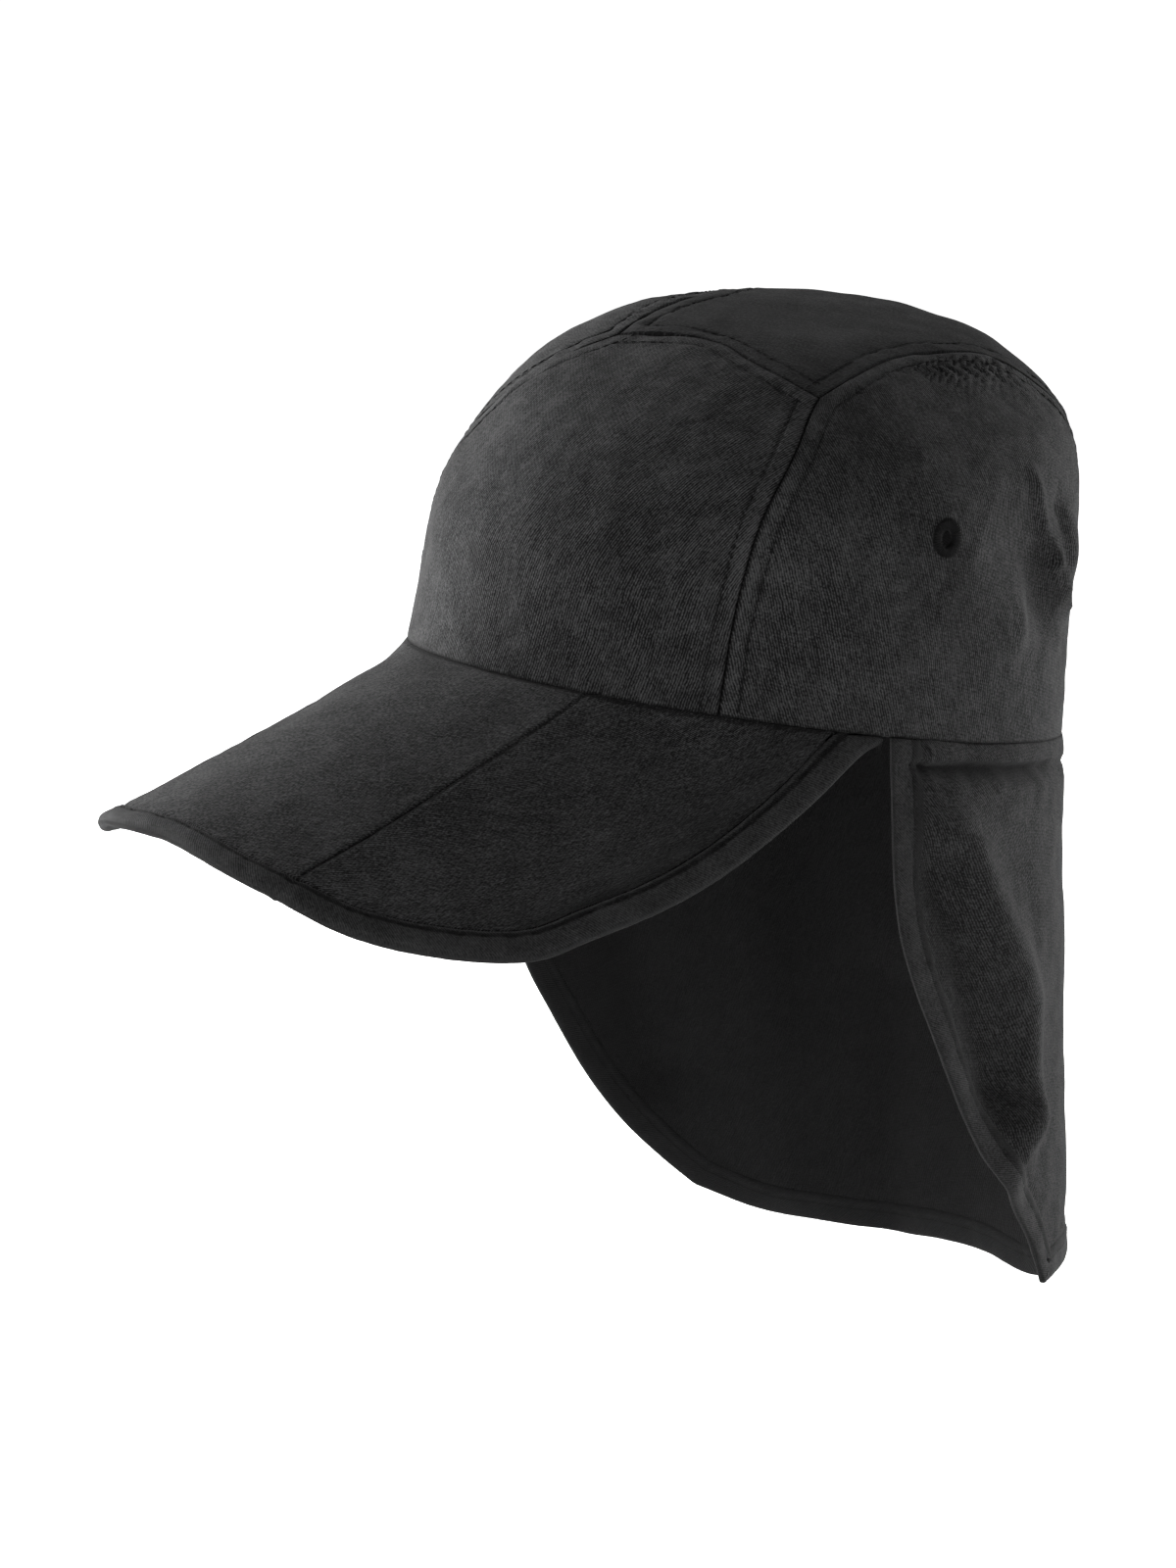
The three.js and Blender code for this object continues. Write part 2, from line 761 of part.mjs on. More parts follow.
function peakBinding() {
  const outerLine = peakEdge(peakBindingRings);
  return turnedOut(bandSolid({
    outerLine,
    innerLine: insetLine(outerLine, -peakBindingWidth + seamGap),
    surface: bindingSpot,
    outward: peakOutward,
    thickness: peakBindingThickness,
    rise: bindingRise,
  }));
}

// Length along the rim from the left of the flap, for its flat cut
const rimLengths = [0];
const lengthSteps = 400;
const stepAngle = flapSpan / lengthSteps;
for (let step = 0; step < lengthSteps; step += 1) {
  const angle = flapStartAngle + step * stepAngle;
  const length = rimPoint(angle + stepAngle).distanceTo(rimPoint(angle));
  rimLengths.push(rimLengths[step] + length);
}

function alongOf(round) {
  const place = round * lengthSteps;
  const index = THREE.MathUtils.clamp(Math.floor(place), 0, lengthSteps - 1);
  return THREE.MathUtils.lerp(rimLengths[index], rimLengths[index + 1], place - index);
}

function angleOf(along) {
  let index = 0;
  while (index < lengthSteps - 1 && rimLengths[index + 1] < along) {
    index += 1;
  }
  const part = (along - rimLengths[index]) / (rimLengths[index + 1] - rimLengths[index]);
  return flapStartAngle + (index + part) * stepAngle;
}

// Outward push of the flap at a place: its tuck under the rim, flare and folds
function flapPush(along, drop) {
  const share = drop / flapLength;
  const place = placeOf(FLAP_TUCK, 'drop', share);
  let push = flapLength * columnAt(FLAP_TUCK, 'out', place) + flapFlare * share;
  for (const fold of FLAP_FOLDS) {
    const from = new THREE.Vector2(alongOf(fold.round), fold.drop * flapLength);
    const to = new THREE.Vector2(alongOf(fold.toRound), fold.toDrop * flapLength);
    const run = to.clone().sub(from);
    const spot = new THREE.Vector2(along, drop).sub(from);
    const part = THREE.MathUtils.clamp(spot.dot(run) / run.lengthSq(), 0, 1);
    const apart = spot.sub(run.multiplyScalar(part)).length();
    push += fold.height * flapLength * bell(apart, fold.width * flapLength);
  }
  return push;
}

// Flap surface over its flat cut: x is the length along the rim and y is up from it
function flapSurface(spot) {
  const angle = angleOf(spot.x);
  const plan = rimPoint(angle);
  const out = new THREE.Vector2(plan.x / rimHalfWidth ** 2, plan.y / rimHalfLength ** 2);
  plan.addScaledVector(out.normalize(), flapPush(spot.x, -spot.y));
  return new THREE.Vector3(plan.x, plan.y, rimHeight(angle) - rimGap + spot.y);
}

const flapStep = 0.5;
const flapOutward = (spot) => normalOf(flapSurface, spot, flapStep);
const flapSpot = (row) => new THREE.Vector2(alongOf(row.round), -row.drop * flapLength);

const flapEdges = {
  left: spaced(FLAP_EDGE_LEFT.map(flapSpot), fineCount),
  hem: spaced(FLAP_HEM.map(flapSpot), fineCount),
  right: spaced(FLAP_EDGE_RIGHT.map(flapSpot), fineCount),
};

// Where two inset edges cross, the cloth of the flap has its corner
function crossing(first, second) {
  let best = { distance: Infinity };
  first.forEach((spot, i) => {
    second.forEach((other, j) => {
      const distance = spot.distanceTo(other);
      if (distance < best.distance) {
        best = { distance, i, j };
      }
    });
  });
  return best;
}

function neckFlap() {
  const left = insetLine(flapEdges.left, flapBindingWidth);
  const hem = insetLine(flapEdges.hem, flapBindingWidth);
  const right = insetLine(flapEdges.right, -flapBindingWidth);
  const leftMeet = crossing(left, hem);
  const rightMeet = crossing(right, hem);
  const bottom = spaced(hem.slice(leftMeet.j, rightMeet.j + 1), flapColumns);
  const leftSide = spaced([...left.slice(0, leftMeet.i), bottom[0]], flapRows);
  const rightSide = spaced([...right.slice(0, rightMeet.i), bottom[flapColumns]], flapRows);
  leftSide[0].y = 0;
  rightSide[0].y = 0;
  const sides = {
    bottom,
    top: lineOf(leftSide[0], rightSide[0], flapColumns),
    left: reversed(leftSide),
    right: reversed(rightSide),
  };
  return shell(sides, flapSurface, flapOutward, flapThickness);
}

function flapBinding() {
  const line = [
    ...spaced(flapEdges.left, flapSideRings),
    ...spaced(flapEdges.hem, flapHemRings).slice(1),
    ...reversed(spaced(flapEdges.right, flapSideRings)).slice(1),
  ];
  const inset = insetLine(line, flapBindingWidth - seamGap);
  inset[0].y = 0;
  inset[inset.length - 1].y = 0;
  return bandSolid({
    outerLine: line,
    innerLine: inset,
    surface: flapSurface,
    outward: flapOutward,
    thickness: flapBindingThickness,
    rise: (flapBindingThickness - flapThickness) / 2,
  });
}

// Cloth colours, near black with a worn, slightly grey face
const twill = new THREE.MeshStandardMaterial({ color: 0x2b2b2d, roughness: 0.92, metalness: 0 });
const bindingCloth = new THREE.MeshStandardMaterial({
  color: 0x313133, roughness: 0.88, metalness: 0,
});
const thread = new THREE.MeshStandardMaterial({ color: 0x141415, roughness: 0.75, metalness: 0 });

const cap = new THREE.Group();

function addPiece(name, geometry, material) {
  geometry.computeVertexNormals();
  const mesh = new THREE.Mesh(geometry, material);
  mesh.name = name;
  cap.add(mesh);
  return mesh;
}

function addEyelet(name, side) {
  const mesh = addPiece(name, eyeletRing(), thread);
  const { place, turnTo } = eyeletFrame(side);
  mesh.position.copy(place);
  mesh.quaternion.copy(turnTo);
}

addPiece('front_panel', frontPanel(), twill);
addPiece('top_panel', topPanel(), twill);
addPiece('left_side_panel', withEyeletHole(leftSidePanel(), 1), twill);
addPiece('right_side_panel', withEyeletHole(rightSidePanel(), -1), twill);
addEyelet('left_eyelet', 1);
addEyelet('right_eyelet', -1);
addPiece('peak_middle', peakSection(peakMiddle()), twill);
addPiece('peak_left', peakSection(peakLeft()), twill);
addPiece('peak_right', peakSection(mirroredSides(peakLeft())), twill);
addPiece('peak_binding', peakBinding(), bindingCloth);
addPiece('neck_flap', neckFlap(), twill);
addPiece('flap_binding', flapBinding(), bindingCloth);

export default cap;
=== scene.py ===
import math

import bpy
import numpy as np
from mathutils import Matrix, Vector


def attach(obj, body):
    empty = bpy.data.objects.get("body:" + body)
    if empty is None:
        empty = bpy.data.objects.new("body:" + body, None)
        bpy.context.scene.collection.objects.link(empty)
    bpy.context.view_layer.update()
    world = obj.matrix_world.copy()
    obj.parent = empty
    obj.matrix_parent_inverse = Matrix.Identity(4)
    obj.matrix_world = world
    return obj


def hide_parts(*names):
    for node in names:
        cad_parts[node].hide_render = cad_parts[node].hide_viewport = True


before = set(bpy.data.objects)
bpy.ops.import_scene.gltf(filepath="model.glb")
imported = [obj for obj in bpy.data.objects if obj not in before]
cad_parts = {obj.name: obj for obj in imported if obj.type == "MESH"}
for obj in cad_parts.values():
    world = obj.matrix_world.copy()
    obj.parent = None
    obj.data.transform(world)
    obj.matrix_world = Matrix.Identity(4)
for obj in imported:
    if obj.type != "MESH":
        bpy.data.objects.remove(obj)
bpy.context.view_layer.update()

# The cap faces -Y, +X is its wearer's left, and the origin is the middle of the rim. Sizes are in
# millimetres and angles in degrees, and a finished piece is put into metres.
MM = 0.001

# Crown, as in the part's source
RIM_HALF_LENGTH = 100.0
RIM_HALF_WIDTH = 83.0
RIM_TILT = 12.65
CROWN_HEIGHT = 105.0
CROWN_WALL = 1.6
CROWN_LEAN = 9.4
CROWN_SHIFT = 15.0
CROWN_TWIST = 13.0
TWIST_HEIGHT = 0.75
EYELET_DIAMETER = 11.0
EYELET_HOLE = 4.0
EYELET_ANGLE = 86.0
EYELET_CLIMB = 0.41
EYELET_PAD = 1.15
EYELET_RINGS = 48
EYELET_CORNERS = 12
EYELET_STITCH_PITCH = 0.55
EYELET_STITCH_THICKNESS = 0.62

# Peak
PEAK_LENGTH = 95.0
PEAK_OVERHANG = 3.0
PEAK_THICKNESS = 2.8
PEAK_CORNER_ANGLE = 76.0
CREASE_ANGLE = 25.9
PEAK_DROOP = 19.0
PEAK_ARCH_SLOPE = 22.0
PEAK_SIDE_SLOPE = 33.4
PEAK_UPTURN = 4.8
PEAK_CORNER_SAG = 13.0
PEAK_SAG_START = 60.0
PEAK_ROLL = 4.0
PEAK_BLEND = 8.0
PEAK_BINDING_WIDTH = 7.0
PEAK_BINDING_THICKNESS = 4.0
PEAK_TURN_SHARE = 0.5
PEAK_SINK_SHARE = 1.06
CREASE_PINCH_DROP = 0.8
CREASE_PINCH_PULL = 0.04

# Neck flap
FLAP_LENGTH = 178.0
FLAP_THICKNESS = 1.3
FLAP_BINDING_WIDTH = 10.0
FLAP_BINDING_THICKNESS = 2.4
FLAP_FLARE = 6.5
FLAP_UNDER_TAPE = 2.0
CORNER_GAP_ANGLE = 1.5
RIM_GAP = 0.4
RIM_CLOSE = 0.36
FLAP_LIP = 0.8

# Height as a share of the crown's height, and reach to front, side and back as a share of the
# rim's half length or half width
CROWN_SECTIONS = {
    "height": (0, 0.15, 0.3, 0.45, 0.6, 0.72, 0.82, 0.9, 0.96, 0.99, 1),
    "front": (1, 0.98, 0.972, 0.951, 0.864, 0.754, 0.627, 0.482, 0.331, 0.162, 0),
    "side": (1, 0.988, 0.98, 0.958, 0.923, 0.872, 0.776, 0.635, 0.491, 0.266, 0),
    "back": (1, 0.989, 0.975, 0.974, 0.986, 0.966, 0.916, 0.792, 0.617, 0.331, 0),
}

# Seams on the left half before the crown's twist: angle, and share of the climb to the top
FRONT_SIDE_SEAM = ((48, 0), (46.5, 0.2), (45, 0.4), (46.5, 0.58), (51, 0.75))
TOP_SIDE_SEAM = (
    (51, 0.75), (72, 0.83), (96, 0.85), (117, 0.832), (130, 0.775), (135, 0.68), (141, 0.5),
    (148, 0.28), (156, 0),
)
FRONT_TOP_SEAM = ((-51, 0.75), (-30, 0.822), (0, 0.845), (30, 0.822), (51, 0.75))

# Soft dents and swells: angle, climb, radius and depth as shares of the crown's height
CROWN_DENTS = (
    (108, 0.33, 0.15, 0.045),
    (117, 0.26, 0.11, 0.04),
    (124, 0.33, 0.1, -0.035),
    (104, 0.26, 0.11, -0.02),
    (55, 0.2, 0.13, 0.02),
    (-70, 0.4, 0.2, 0.025),
    (205, 0.35, 0.2, 0.03),
)

# Fine folds of the crown's cloth: angle and climb of both ends, width and height in millimetres
CROWN_FOLDS = (
    (111, 0.345, 116.5, 0.292, 3.4, -1.3),
    (116.5, 0.292, 121, 0.253, 2.6, -1.1),
    (113.5, 0.52, 115.5, 0.4, 2.6, 1.3),
    (115.5, 0.4, 119.5, 0.334, 2.3, 1.6),
    (119.5, 0.334, 129, 0.24, 2.3, 1.5),
    (121.5, 0.43, 123, 0.33, 3.6, -1.5),
    (107, 0.27, 105, 0.2, 4.0, 0.8),
    (25.6, 0.0, 24.4, 0.045, 1.0, 1.1),
    (27.4, 0.0, 27.0, 0.035, 1.0, -1.0),
    (-112, 0.45, -124, 0.27, 4.0, 1.0),
    (-104, 0.36, -117, 0.25, 2.4, -0.8),
    (176, 0.22, 190, 0.1, 3.5, -0.9),
)

# Gathers of the side panels below the seam round the top panel
GATHER_FROM = 92.0
GATHER_TO = 140.0
GATHER_COUNT = 12
GATHER_DEPTH = 1.7
GATHER_START = 0.008
GATHER_FADE = 0.032

# Outer edge of the peak's left half: shares of its half width and of its reach
PEAK_EDGE = (
    (0.995, 0.27), (1.025, 0.434), (1.017, 0.552), (0.974, 0.67), (0.93, 0.758),
    (0.789, 0.859), (0.618, 0.944), (0.419, 1.002), (0.229, 1.027), (0, 1.03),
)

# Free edge of the flap: share of the way round the rim, and drop as a share of its length
FLAP_EDGE_LEFT = (
    (0, 0), (0.002, 0.17), (0.007, 0.285), (0.018, 0.365), (0.037, 0.451), (0.072, 0.59),
    (0.107, 0.697), (0.149, 0.785), (0.168, 0.83), (0.19, 0.9),
)
FLAP_HEM = (
    (0.19, 0.9), (0.24, 0.89), (0.3, 0.895), (0.36, 0.945), (0.425, 1.002), (0.489, 0.993),
    (0.549, 0.999), (0.603, 1.016), (0.693, 1.012), (0.738, 1.004), (0.783, 0.98),
)
FLAP_EDGE_RIGHT = (
    (1, 0), (0.998, 0.2), (0.984, 0.42), (0.956, 0.57), (0.923, 0.675), (0.886, 0.785),
    (0.85, 0.87), (0.815, 0.932), (0.783, 0.98),
)

# Folds of the flap: round and drop of both ends, width and height as shares of its length
FLAP_FOLDS = (
    (0.06, 0.13, 0.14, 0.35, 0.05, 0.026),
    (0.155, 0.42, 0.155, 0.6, 0.05, 0.024),
    (0.155, 0.6, 0.125, 0.7, 0.045, 0.018),
    (0.05, 0.22, 0.11, 0.55, 0.05, -0.026),
    (0.442, 0.15, 0.402, 1, 0.07, 0.022),
    (0.598, 0.55, 0.602, 1, 0.05, 0.018),
    (0.754, 0.1, 0.705, 0.95, 0.08, -0.02),
    (0.9, 0.12, 0.822, 0.75, 0.07, 0.022),
)

# Turned tuck under the rim: drop, and how far the flap stands out, as shares of its length
FLAP_TUCK = (
    (0, -0.002), (0.014, 0.004), (0.028, 0.003), (0.042, -0.019), (0.058, 0.001), (0.075, 0.005),
    (0.12, 0.002), (0.2, 0), (1, 0),
)

TUCK_GROOVE = FLAP_TUCK[3][0]

# Cloth and sewing. The steps are the places of the fine cells beside a seam, the widths and
# heights set how many cells a panel has, and the side panel's corner is where the seam over it
# turns down the back, as a share of that seam
CELL = 1.5
GATHER_CELL = 0.7
FLAP_CELL = 1.9
EDGE_STEPS = (0, 0.3, 0.8, 1.5, 2.4, 3.4, 4.2, 4.7, 5.1, 5.6, 6.4, 7.4)
PANEL_WIDTHS = {"front": 112, "top": 66, "side": 170, "peak_side": 78}
PANEL_HEIGHTS = {
    "front": 108, "top": 215, "side": 86, "peak_middle": 98, "peak_side": 102, "flap": 170,
}
SIDE_CORNER = 24 / 35
RIM_SHADE_WIDTH = 1.6
RIM_SHADE_SHARE = 0.6
STITCH_LINE = 5.0
STITCH_PITCH = 2.7
STITCH_LENGTH = 2.1
STITCH_THICKNESS = 0.36
STITCH_SINK = 0.12
BAND_STEP = 1.4
BAND_CORNERS = 28
BAND_SQUARENESS = 0.6
PEAK_STITCH_SHARE = 0.22
PEAK_STITCH_SINK = 0.3
FLAP_STITCH_SHARE = 0.32
FLAP_STITCH_SINK = 0.45

# Steps for the slope of each surface: on the crown's disc, and in millimetres
DISC_STEP = 0.004
PEAK_STEP = 0.2
FLAP_STEP = 0.5

rim_slope = math.tan(math.radians(RIM_TILT))
lean_slope = math.tan(math.radians(CROWN_LEAN))
peak_reach = RIM_HALF_LENGTH + PEAK_LENGTH
peak_half_width = RIM_HALF_WIDTH + PEAK_OVERHANG
flap_start = PEAK_CORNER_ANGLE + CORNER_GAP_ANGLE
flap_span = 360 - 2 * flap_start
peak_rise = (PEAK_BINDING_THICKNESS - PEAK_THICKNESS) / 2
flap_rise = (FLAP_BINDING_THICKNESS - FLAP_THICKNESS) / 2


# Curves and surfaces

def column_at(values, place):
    """Smooth value of a table's column at places given in rows"""
    values = np.array(values, float)
    last = len(values) - 1
    index = np.clip(np.floor(place).astype(int), 0, last - 1)
    t = place - index
    start, end = values[index], values[index + 1]
    before = np.where(index > 0, values[np.maximum(index - 1, 0)], 2 * start - end)
    after = np.where(index + 2 <= last, values[np.minimum(index + 2, last)], 2 * end - start)
    slope_start = (end - before) / 2
    slope_end = (after - start) / 2
    cubic = 2 * start - 2 * end + slope_start + slope_end
    square = 3 * end - 3 * start - 2 * slope_start - slope_end
    return ((cubic * t + square) * t + slope_start) * t + start


def bell(distance, width):
    return np.exp(-((distance / width) ** 2))


def smoothstep(value, low, high):
    t = np.clip((value - low) / (high - low), 0, 1)
    return t * t * (3 - 2 * t)


def unit(vectors):
    return vectors / np.linalg.norm(vectors, axis=-1, keepdims=True)


def ripples(points, size, seed, count=24):
    """Smooth random swells of about one size, with a spread of 1"""
    random = np.random.default_rng(seed)
    waves = unit(random.normal(size=(count, points.shape[-1])))
    waves *= 2 * math.pi / size * random.uniform(0.6, 1.6, (count, 1))
    phases = random.uniform(0, 2 * math.pi, count)
    return np.sin(points @ waves.T + phases).sum(-1) * math.sqrt(2 / count)


def smooth_line(points, steps=60):
    """Dense line through a few points"""
    points = np.array(points, float)
    padded = np.vstack([points[:1], points, points[-1:]])
    t = np.linspace(0, 1, steps, endpoint=False)[:, None]
    pieces = []
    for p0, p1, p2, p3 in zip(padded, padded[1:], padded[2:], padded[3:]):
        v0 = (p2 - p0) / 2
        v1 = (p3 - p1) / 2
        cubic = 2 * p1 - 2 * p2 + v0 + v1
        square = -3 * p1 + 3 * p2 - 2 * v0 - v1
        pieces.append(((cubic * t + square) * t + v0) * t + p1)
    pieces.append(points[-1:])
    return np.vstack(pieces)


def lengths_along(line):
    steps = np.linalg.norm(np.diff(line, axis=0), axis=1)
    return np.concatenate([[0], np.cumsum(steps)])


def at_shares(line, shares):
    """Points of a dense line at shares of its length"""
    lengths = lengths_along(line)
    places = np.asarray(shares) * lengths[-1]
    return np.stack([np.interp(places, lengths, line[:, i]) for i in range(line.shape[1])], 1)


def even(line, count):
    return at_shares(line, np.linspace(0, 1, count + 1))


def straight(start, end, shares):
    return start + (end - start) * np.asarray(shares)[:, None]


def edge_shares(length, cell=CELL, start=EDGE_STEPS, end=EDGE_STEPS):
    """Shares of a length with fine steps at its two ends, where the seams are"""
    middle = length - start[-1] - end[-1]
    count = max(int(round(middle / cell)), 2)
    inner = start[-1] + middle * np.arange(1, count) / count
    places = np.concatenate([start, inner, length - np.array(end[::-1])])
    return places / length


def patch(bottom, top, left, right, across, up):
    """Spots between four sides, at shares across and up"""
    u = across[None, :, None]
    v = up[:, None, None]
    spots = (1 - v) * bottom[None] + v * top[None] + (1 - u) * left[:, None] + u * right[:, None]
    spots -= (1 - u) * (1 - v) * bottom[0] + u * (1 - v) * bottom[-1]
    return spots - (1 - u) * v * top[0] - u * v * top[-1]


def normal_of(surface, spots, step):
    along = np.array([step, 0.0])
    across = np.array([0.0, step])
    first = surface(spots + along) - surface(spots - along)
    second = surface(spots + across) - surface(spots - across)
    return unit(np.cross(first, second))


def beside(surface, spots, distance, step):
    """Spots moved sideways from a line of spots, by a distance on the surface"""
    along = np.array([step, 0.0])
    across = np.array([0.0, step])
    first = (surface(spots + along) - surface(spots - along)) / (2 * step)
    second = (surface(spots + across) - surface(spots - across)) / (2 * step)
    run = unit(np.gradient(surface(spots), axis=0))
    side = np.cross(unit(np.cross(first, second)), run)
    jacobian = np.stack([first, second], -1)
    moved = np.linalg.pinv(jacobian) @ (distance * side)[..., None]
    return spots + moved[..., 0]


def distance_to(points, line):
    """Distance of each point from the nearest point of a dense line"""
    flat = points.reshape(-1, points.shape[-1])
    nearest = np.full(len(flat), np.inf)
    for start in range(0, len(line), 100):
        gaps = np.linalg.norm(flat[:, None] - line[None, start:start + 100], axis=-1)
        nearest = np.minimum(nearest, gaps.min(1))
    return nearest.reshape(points.shape[:-1])


def rim_height(angle):
    return rim_slope * RIM_HALF_LENGTH * np.cos(np.radians(angle))


def rim_point(angle, share=1.0):
    turn = np.radians(angle)
    x = RIM_HALF_WIDTH * share * np.sin(turn)
    y = -RIM_HALF_LENGTH * share * np.cos(turn)
    return np.stack([x, y], -1)


# Crown

def plain_crown(angle, climb):
    place = np.asarray(climb) * (len(CROWN_SECTIONS["height"]) - 1)
    height = column_at(CROWN_SECTIONS["height"], place)
    forward = np.cos(np.radians(angle))
    front = column_at(CROWN_SECTIONS["front"], place)
    back = column_at(CROWN_SECTIONS["back"], place)
    side = column_at(CROWN_SECTIONS["side"], place)
    reach = side + (np.where(forward > 0, front, back) - side) * forward ** 2
    plan = rim_point(angle, reach)
    z = CROWN_HEIGHT * height + rim_height(angle) * (1 - height)
    x = plan[..., 0] + CROWN_SHIFT * height
    return np.stack([x, plan[..., 1], z - lean_slope * height * plan[..., 0]], -1)


def twist_at(climb):
    return CROWN_TWIST * np.clip(climb / TWIST_HEIGHT, 0, 1) ** 1.5


def on_disc(angle, climb):
    turned = np.radians(angle + twist_at(climb))
    return np.stack([np.sin(turned), -np.cos(turned)], -1) * (1 - climb)[..., None]


def from_disc(spots):
    angle = np.degrees(np.arctan2(spots[..., 0], -spots[..., 1]))
    return angle, 1 - np.linalg.norm(spots, axis=-1)


def bare_crown(spots):
    return plain_crown(*from_disc(spots))


dent_centres = [plain_crown(np.array(float(dent[0])), dent[1]) for dent in CROWN_DENTS]


def dent_depth(points):
    depth = np.zeros(points.shape[:-1])
    for (angle, climb, radius, deep), centre in zip(CROWN_DENTS, dent_centres):
        distance = np.linalg.norm(points - centre, axis=-1)
        depth += CROWN_HEIGHT * deep * bell(distance, CROWN_HEIGHT * radius)
    return depth


def crown_surface(spots):
    points = bare_crown(spots)
    normals = normal_of(bare_crown, spots, DISC_STEP)
    return points - normals * dent_depth(points)[..., None]


def crown_outward(spots):
    """Way out of the crown, level at the rim"""
    normals = normal_of(crown_surface, spots, DISC_STEP)
    normals[..., 2] *= smoothstep(1 - np.linalg.norm(spots, axis=-1), 0, 0.08)
    return unit(normals)


def seam_spots(rows):
    rows = np.array(rows, float)
    return smooth_line(on_disc(rows[:, 0], rows[:, 1]))


def mirrored(rows):
    return tuple((-angle, climb) for angle, climb in rows)


def gather_pinch(spots):
    """1 at the bottom of each gather and 0 away from them"""
    angle, climb = from_disc(spots)
    plain = np.abs(angle - CROWN_TWIST)
    share = np.clip((plain - GATHER_FROM) / (GATHER_TO - GATHER_FROM), 0, 1)
    wave = np.sin(math.pi * GATHER_COUNT * (share + 0.03 * np.sin(9 * share)))
    seam = np.array(TOP_SIDE_SEAM)
    seam_climb = np.interp(plain, seam[:5, 0], seam[:5, 1])
    below = np.maximum(seam_climb - climb - GATHER_START, 0) / GATHER_FADE
    envelope = np.sin(math.pi * share) ** 0.5 * below * np.exp(1 - below)
    return bell(wave, 0.35) * envelope


seams = {
    "front_left": seam_spots(FRONT_SIDE_SEAM),
    "front_right": seam_spots(mirrored(FRONT_SIDE_SEAM)),
    "top_left": seam_spots(TOP_SIDE_SEAM),
    "top_right": seam_spots(mirrored(TOP_SIDE_SEAM)),
    "front_top": seam_spots(FRONT_TOP_SEAM),
}
seam_lines = {name: crown_surface(even(spots, 500)) for name, spots in seams.items()}
rim_spots = on_disc(np.linspace(-180, 180, 721), np.zeros(721))
rim_line = crown_surface(rim_spots)


def seam_relief(distance, points):
    """Sewn seam: a narrow valley, a soft roll beside it and the dip of its stitch line"""
    uneven = 1 + 0.3 * ripples(points, 7, 3)
    roll = 0.12 * bell(distance - 2.3, 1.8) * uneven
    valley = 0.22 * bell(distance, 0.4)
    stitched = 0.24 * bell(distance - STITCH_LINE, 0.5)
    pucker = 0.15 * bell(distance - STITCH_LINE, 3.0) * ripples(points, 5, 4)
    return roll - valley - stitched + pucker


def shaded_rim(edge, rim):
    """Distance from a seam, which close to the rim is a share of the distance from the rim, so the
    seam valley's painted shade also darkens the rim
    """
    return np.where(rim < RIM_SHADE_WIDTH, np.minimum(edge, rim * RIM_SHADE_SHARE), edge)


def cloth_swell(points, seed):
    return 0.22 * ripples(points, 34, seed) + 0.08 * ripples(points, 11, seed + 50)


def fold_relief(points):
    """Fine folds, each along a straight run between two places on the crown"""
    relief = np.zeros(points.shape[:-1])
    for angle, climb, to_angle, to_climb, width, height in CROWN_FOLDS:
        start = plain_crown(np.array(float(angle)), climb)
        run = plain_crown(np.array(float(to_angle)), to_climb) - start
        part = np.clip((points - start) @ run / (run @ run), 0, 1)
        apart = np.linalg.norm(points - start - part[..., None] * run, axis=-1)
        relief += height * bell(apart, width)
    return relief


# Meshes

def add_object(name, data):
    """New object in the scene's collection"""
    made = bpy.data.objects.new(name, data)
    bpy.context.scene.collection.objects.link(made)
    return made


def place_piece(piece, node=None):
    """Puts a piece on the cap's one body, in place of its plain solid where it has one"""
    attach(piece, "root")
    if node is not None:
        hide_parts(node)


def signed_volume(vertices, faces):
    quads = np.array([(f[0], f[1], f[2], f[3] if len(f) > 3 else f[2]) for f in faces])
    a, b, c, d = (vertices[quads[:, i]] for i in range(4))
    first = np.einsum("ij,ij->i", a, np.cross(b, c)).sum()
    return (first + np.einsum("ij,ij->i", a, np.cross(c, d)).sum()) / 6


def make_piece(name, vertices, faces, uv, edge, painted_shade, material):
    """Closed mesh in metres, facing out, with its cloth's UV, its distance from a seam and its
    painted shade"""
    if signed_volume(vertices, faces) < 0:
        faces = [face[::-1] for face in faces]
    mesh = bpy.data.meshes.new(name)
    mesh.from_pydata((vertices * MM).tolist(), [], faces)
    corners = np.zeros(len(mesh.loops), np.int32)
    mesh.loops.foreach_get("vertex_index", corners)
    layer = mesh.uv_layers.new(name="cloth")
    layer.data.foreach_set("uv", uv[corners].astype(np.float32).ravel())
    for key, values in (("edge", edge), ("painted_shade", painted_shade)):
        attribute = mesh.attributes.new(key, "FLOAT", "POINT")
        attribute.data.foreach_set("value", values.astype(np.float32).ravel())
    mesh.polygons.foreach_set("use_smooth", np.ones(len(mesh.polygons), bool))
    mesh.materials.append(material)
    mesh.update()
    return add_object(name, mesh)


def shell_faces(kept):
    """Faces of a closed shell over a grid of cells, open where a cell isn't kept"""
    rows, columns = kept.shape
    count = (rows + 1) * (columns + 1)

    def outer(row, column):
        return row * (columns + 1) + column

    def inner(row, column):
        return count + outer(row, column)

    faces = []
    for row, column in zip(*np.nonzero(kept)):
        row, column = int(row), int(column)
        corners = [(row, column), (row, column + 1), (row + 1, column + 1), (row + 1, column)]
        faces.append([outer(*corner) for corner in corners])
        faces.append([inner(*corner) for corner in corners[::-1]])
        sides = [(-1, 0), (0, 1), (1, 0), (0, -1)]
        for index, (down, right) in enumerate(sides):
            beyond = (row + down, column + right)
            within = 0 <= beyond[0] < rows and 0 <= beyond[1] < columns
            if within and kept[beyond]:
                continue
            start, end = corners[index], corners[(index + 1) % 4]
            faces.append([outer(*end), outer(*start), inner(*start), inner(*end)])
    return faces


def grid_area(points):
    first = points[1:, 1:] - points[:-1, :-1]
    second = points[1:, :-1] - points[:-1, 1:]
    return np.linalg.norm(np.cross(first, second), axis=-1).sum() / 2


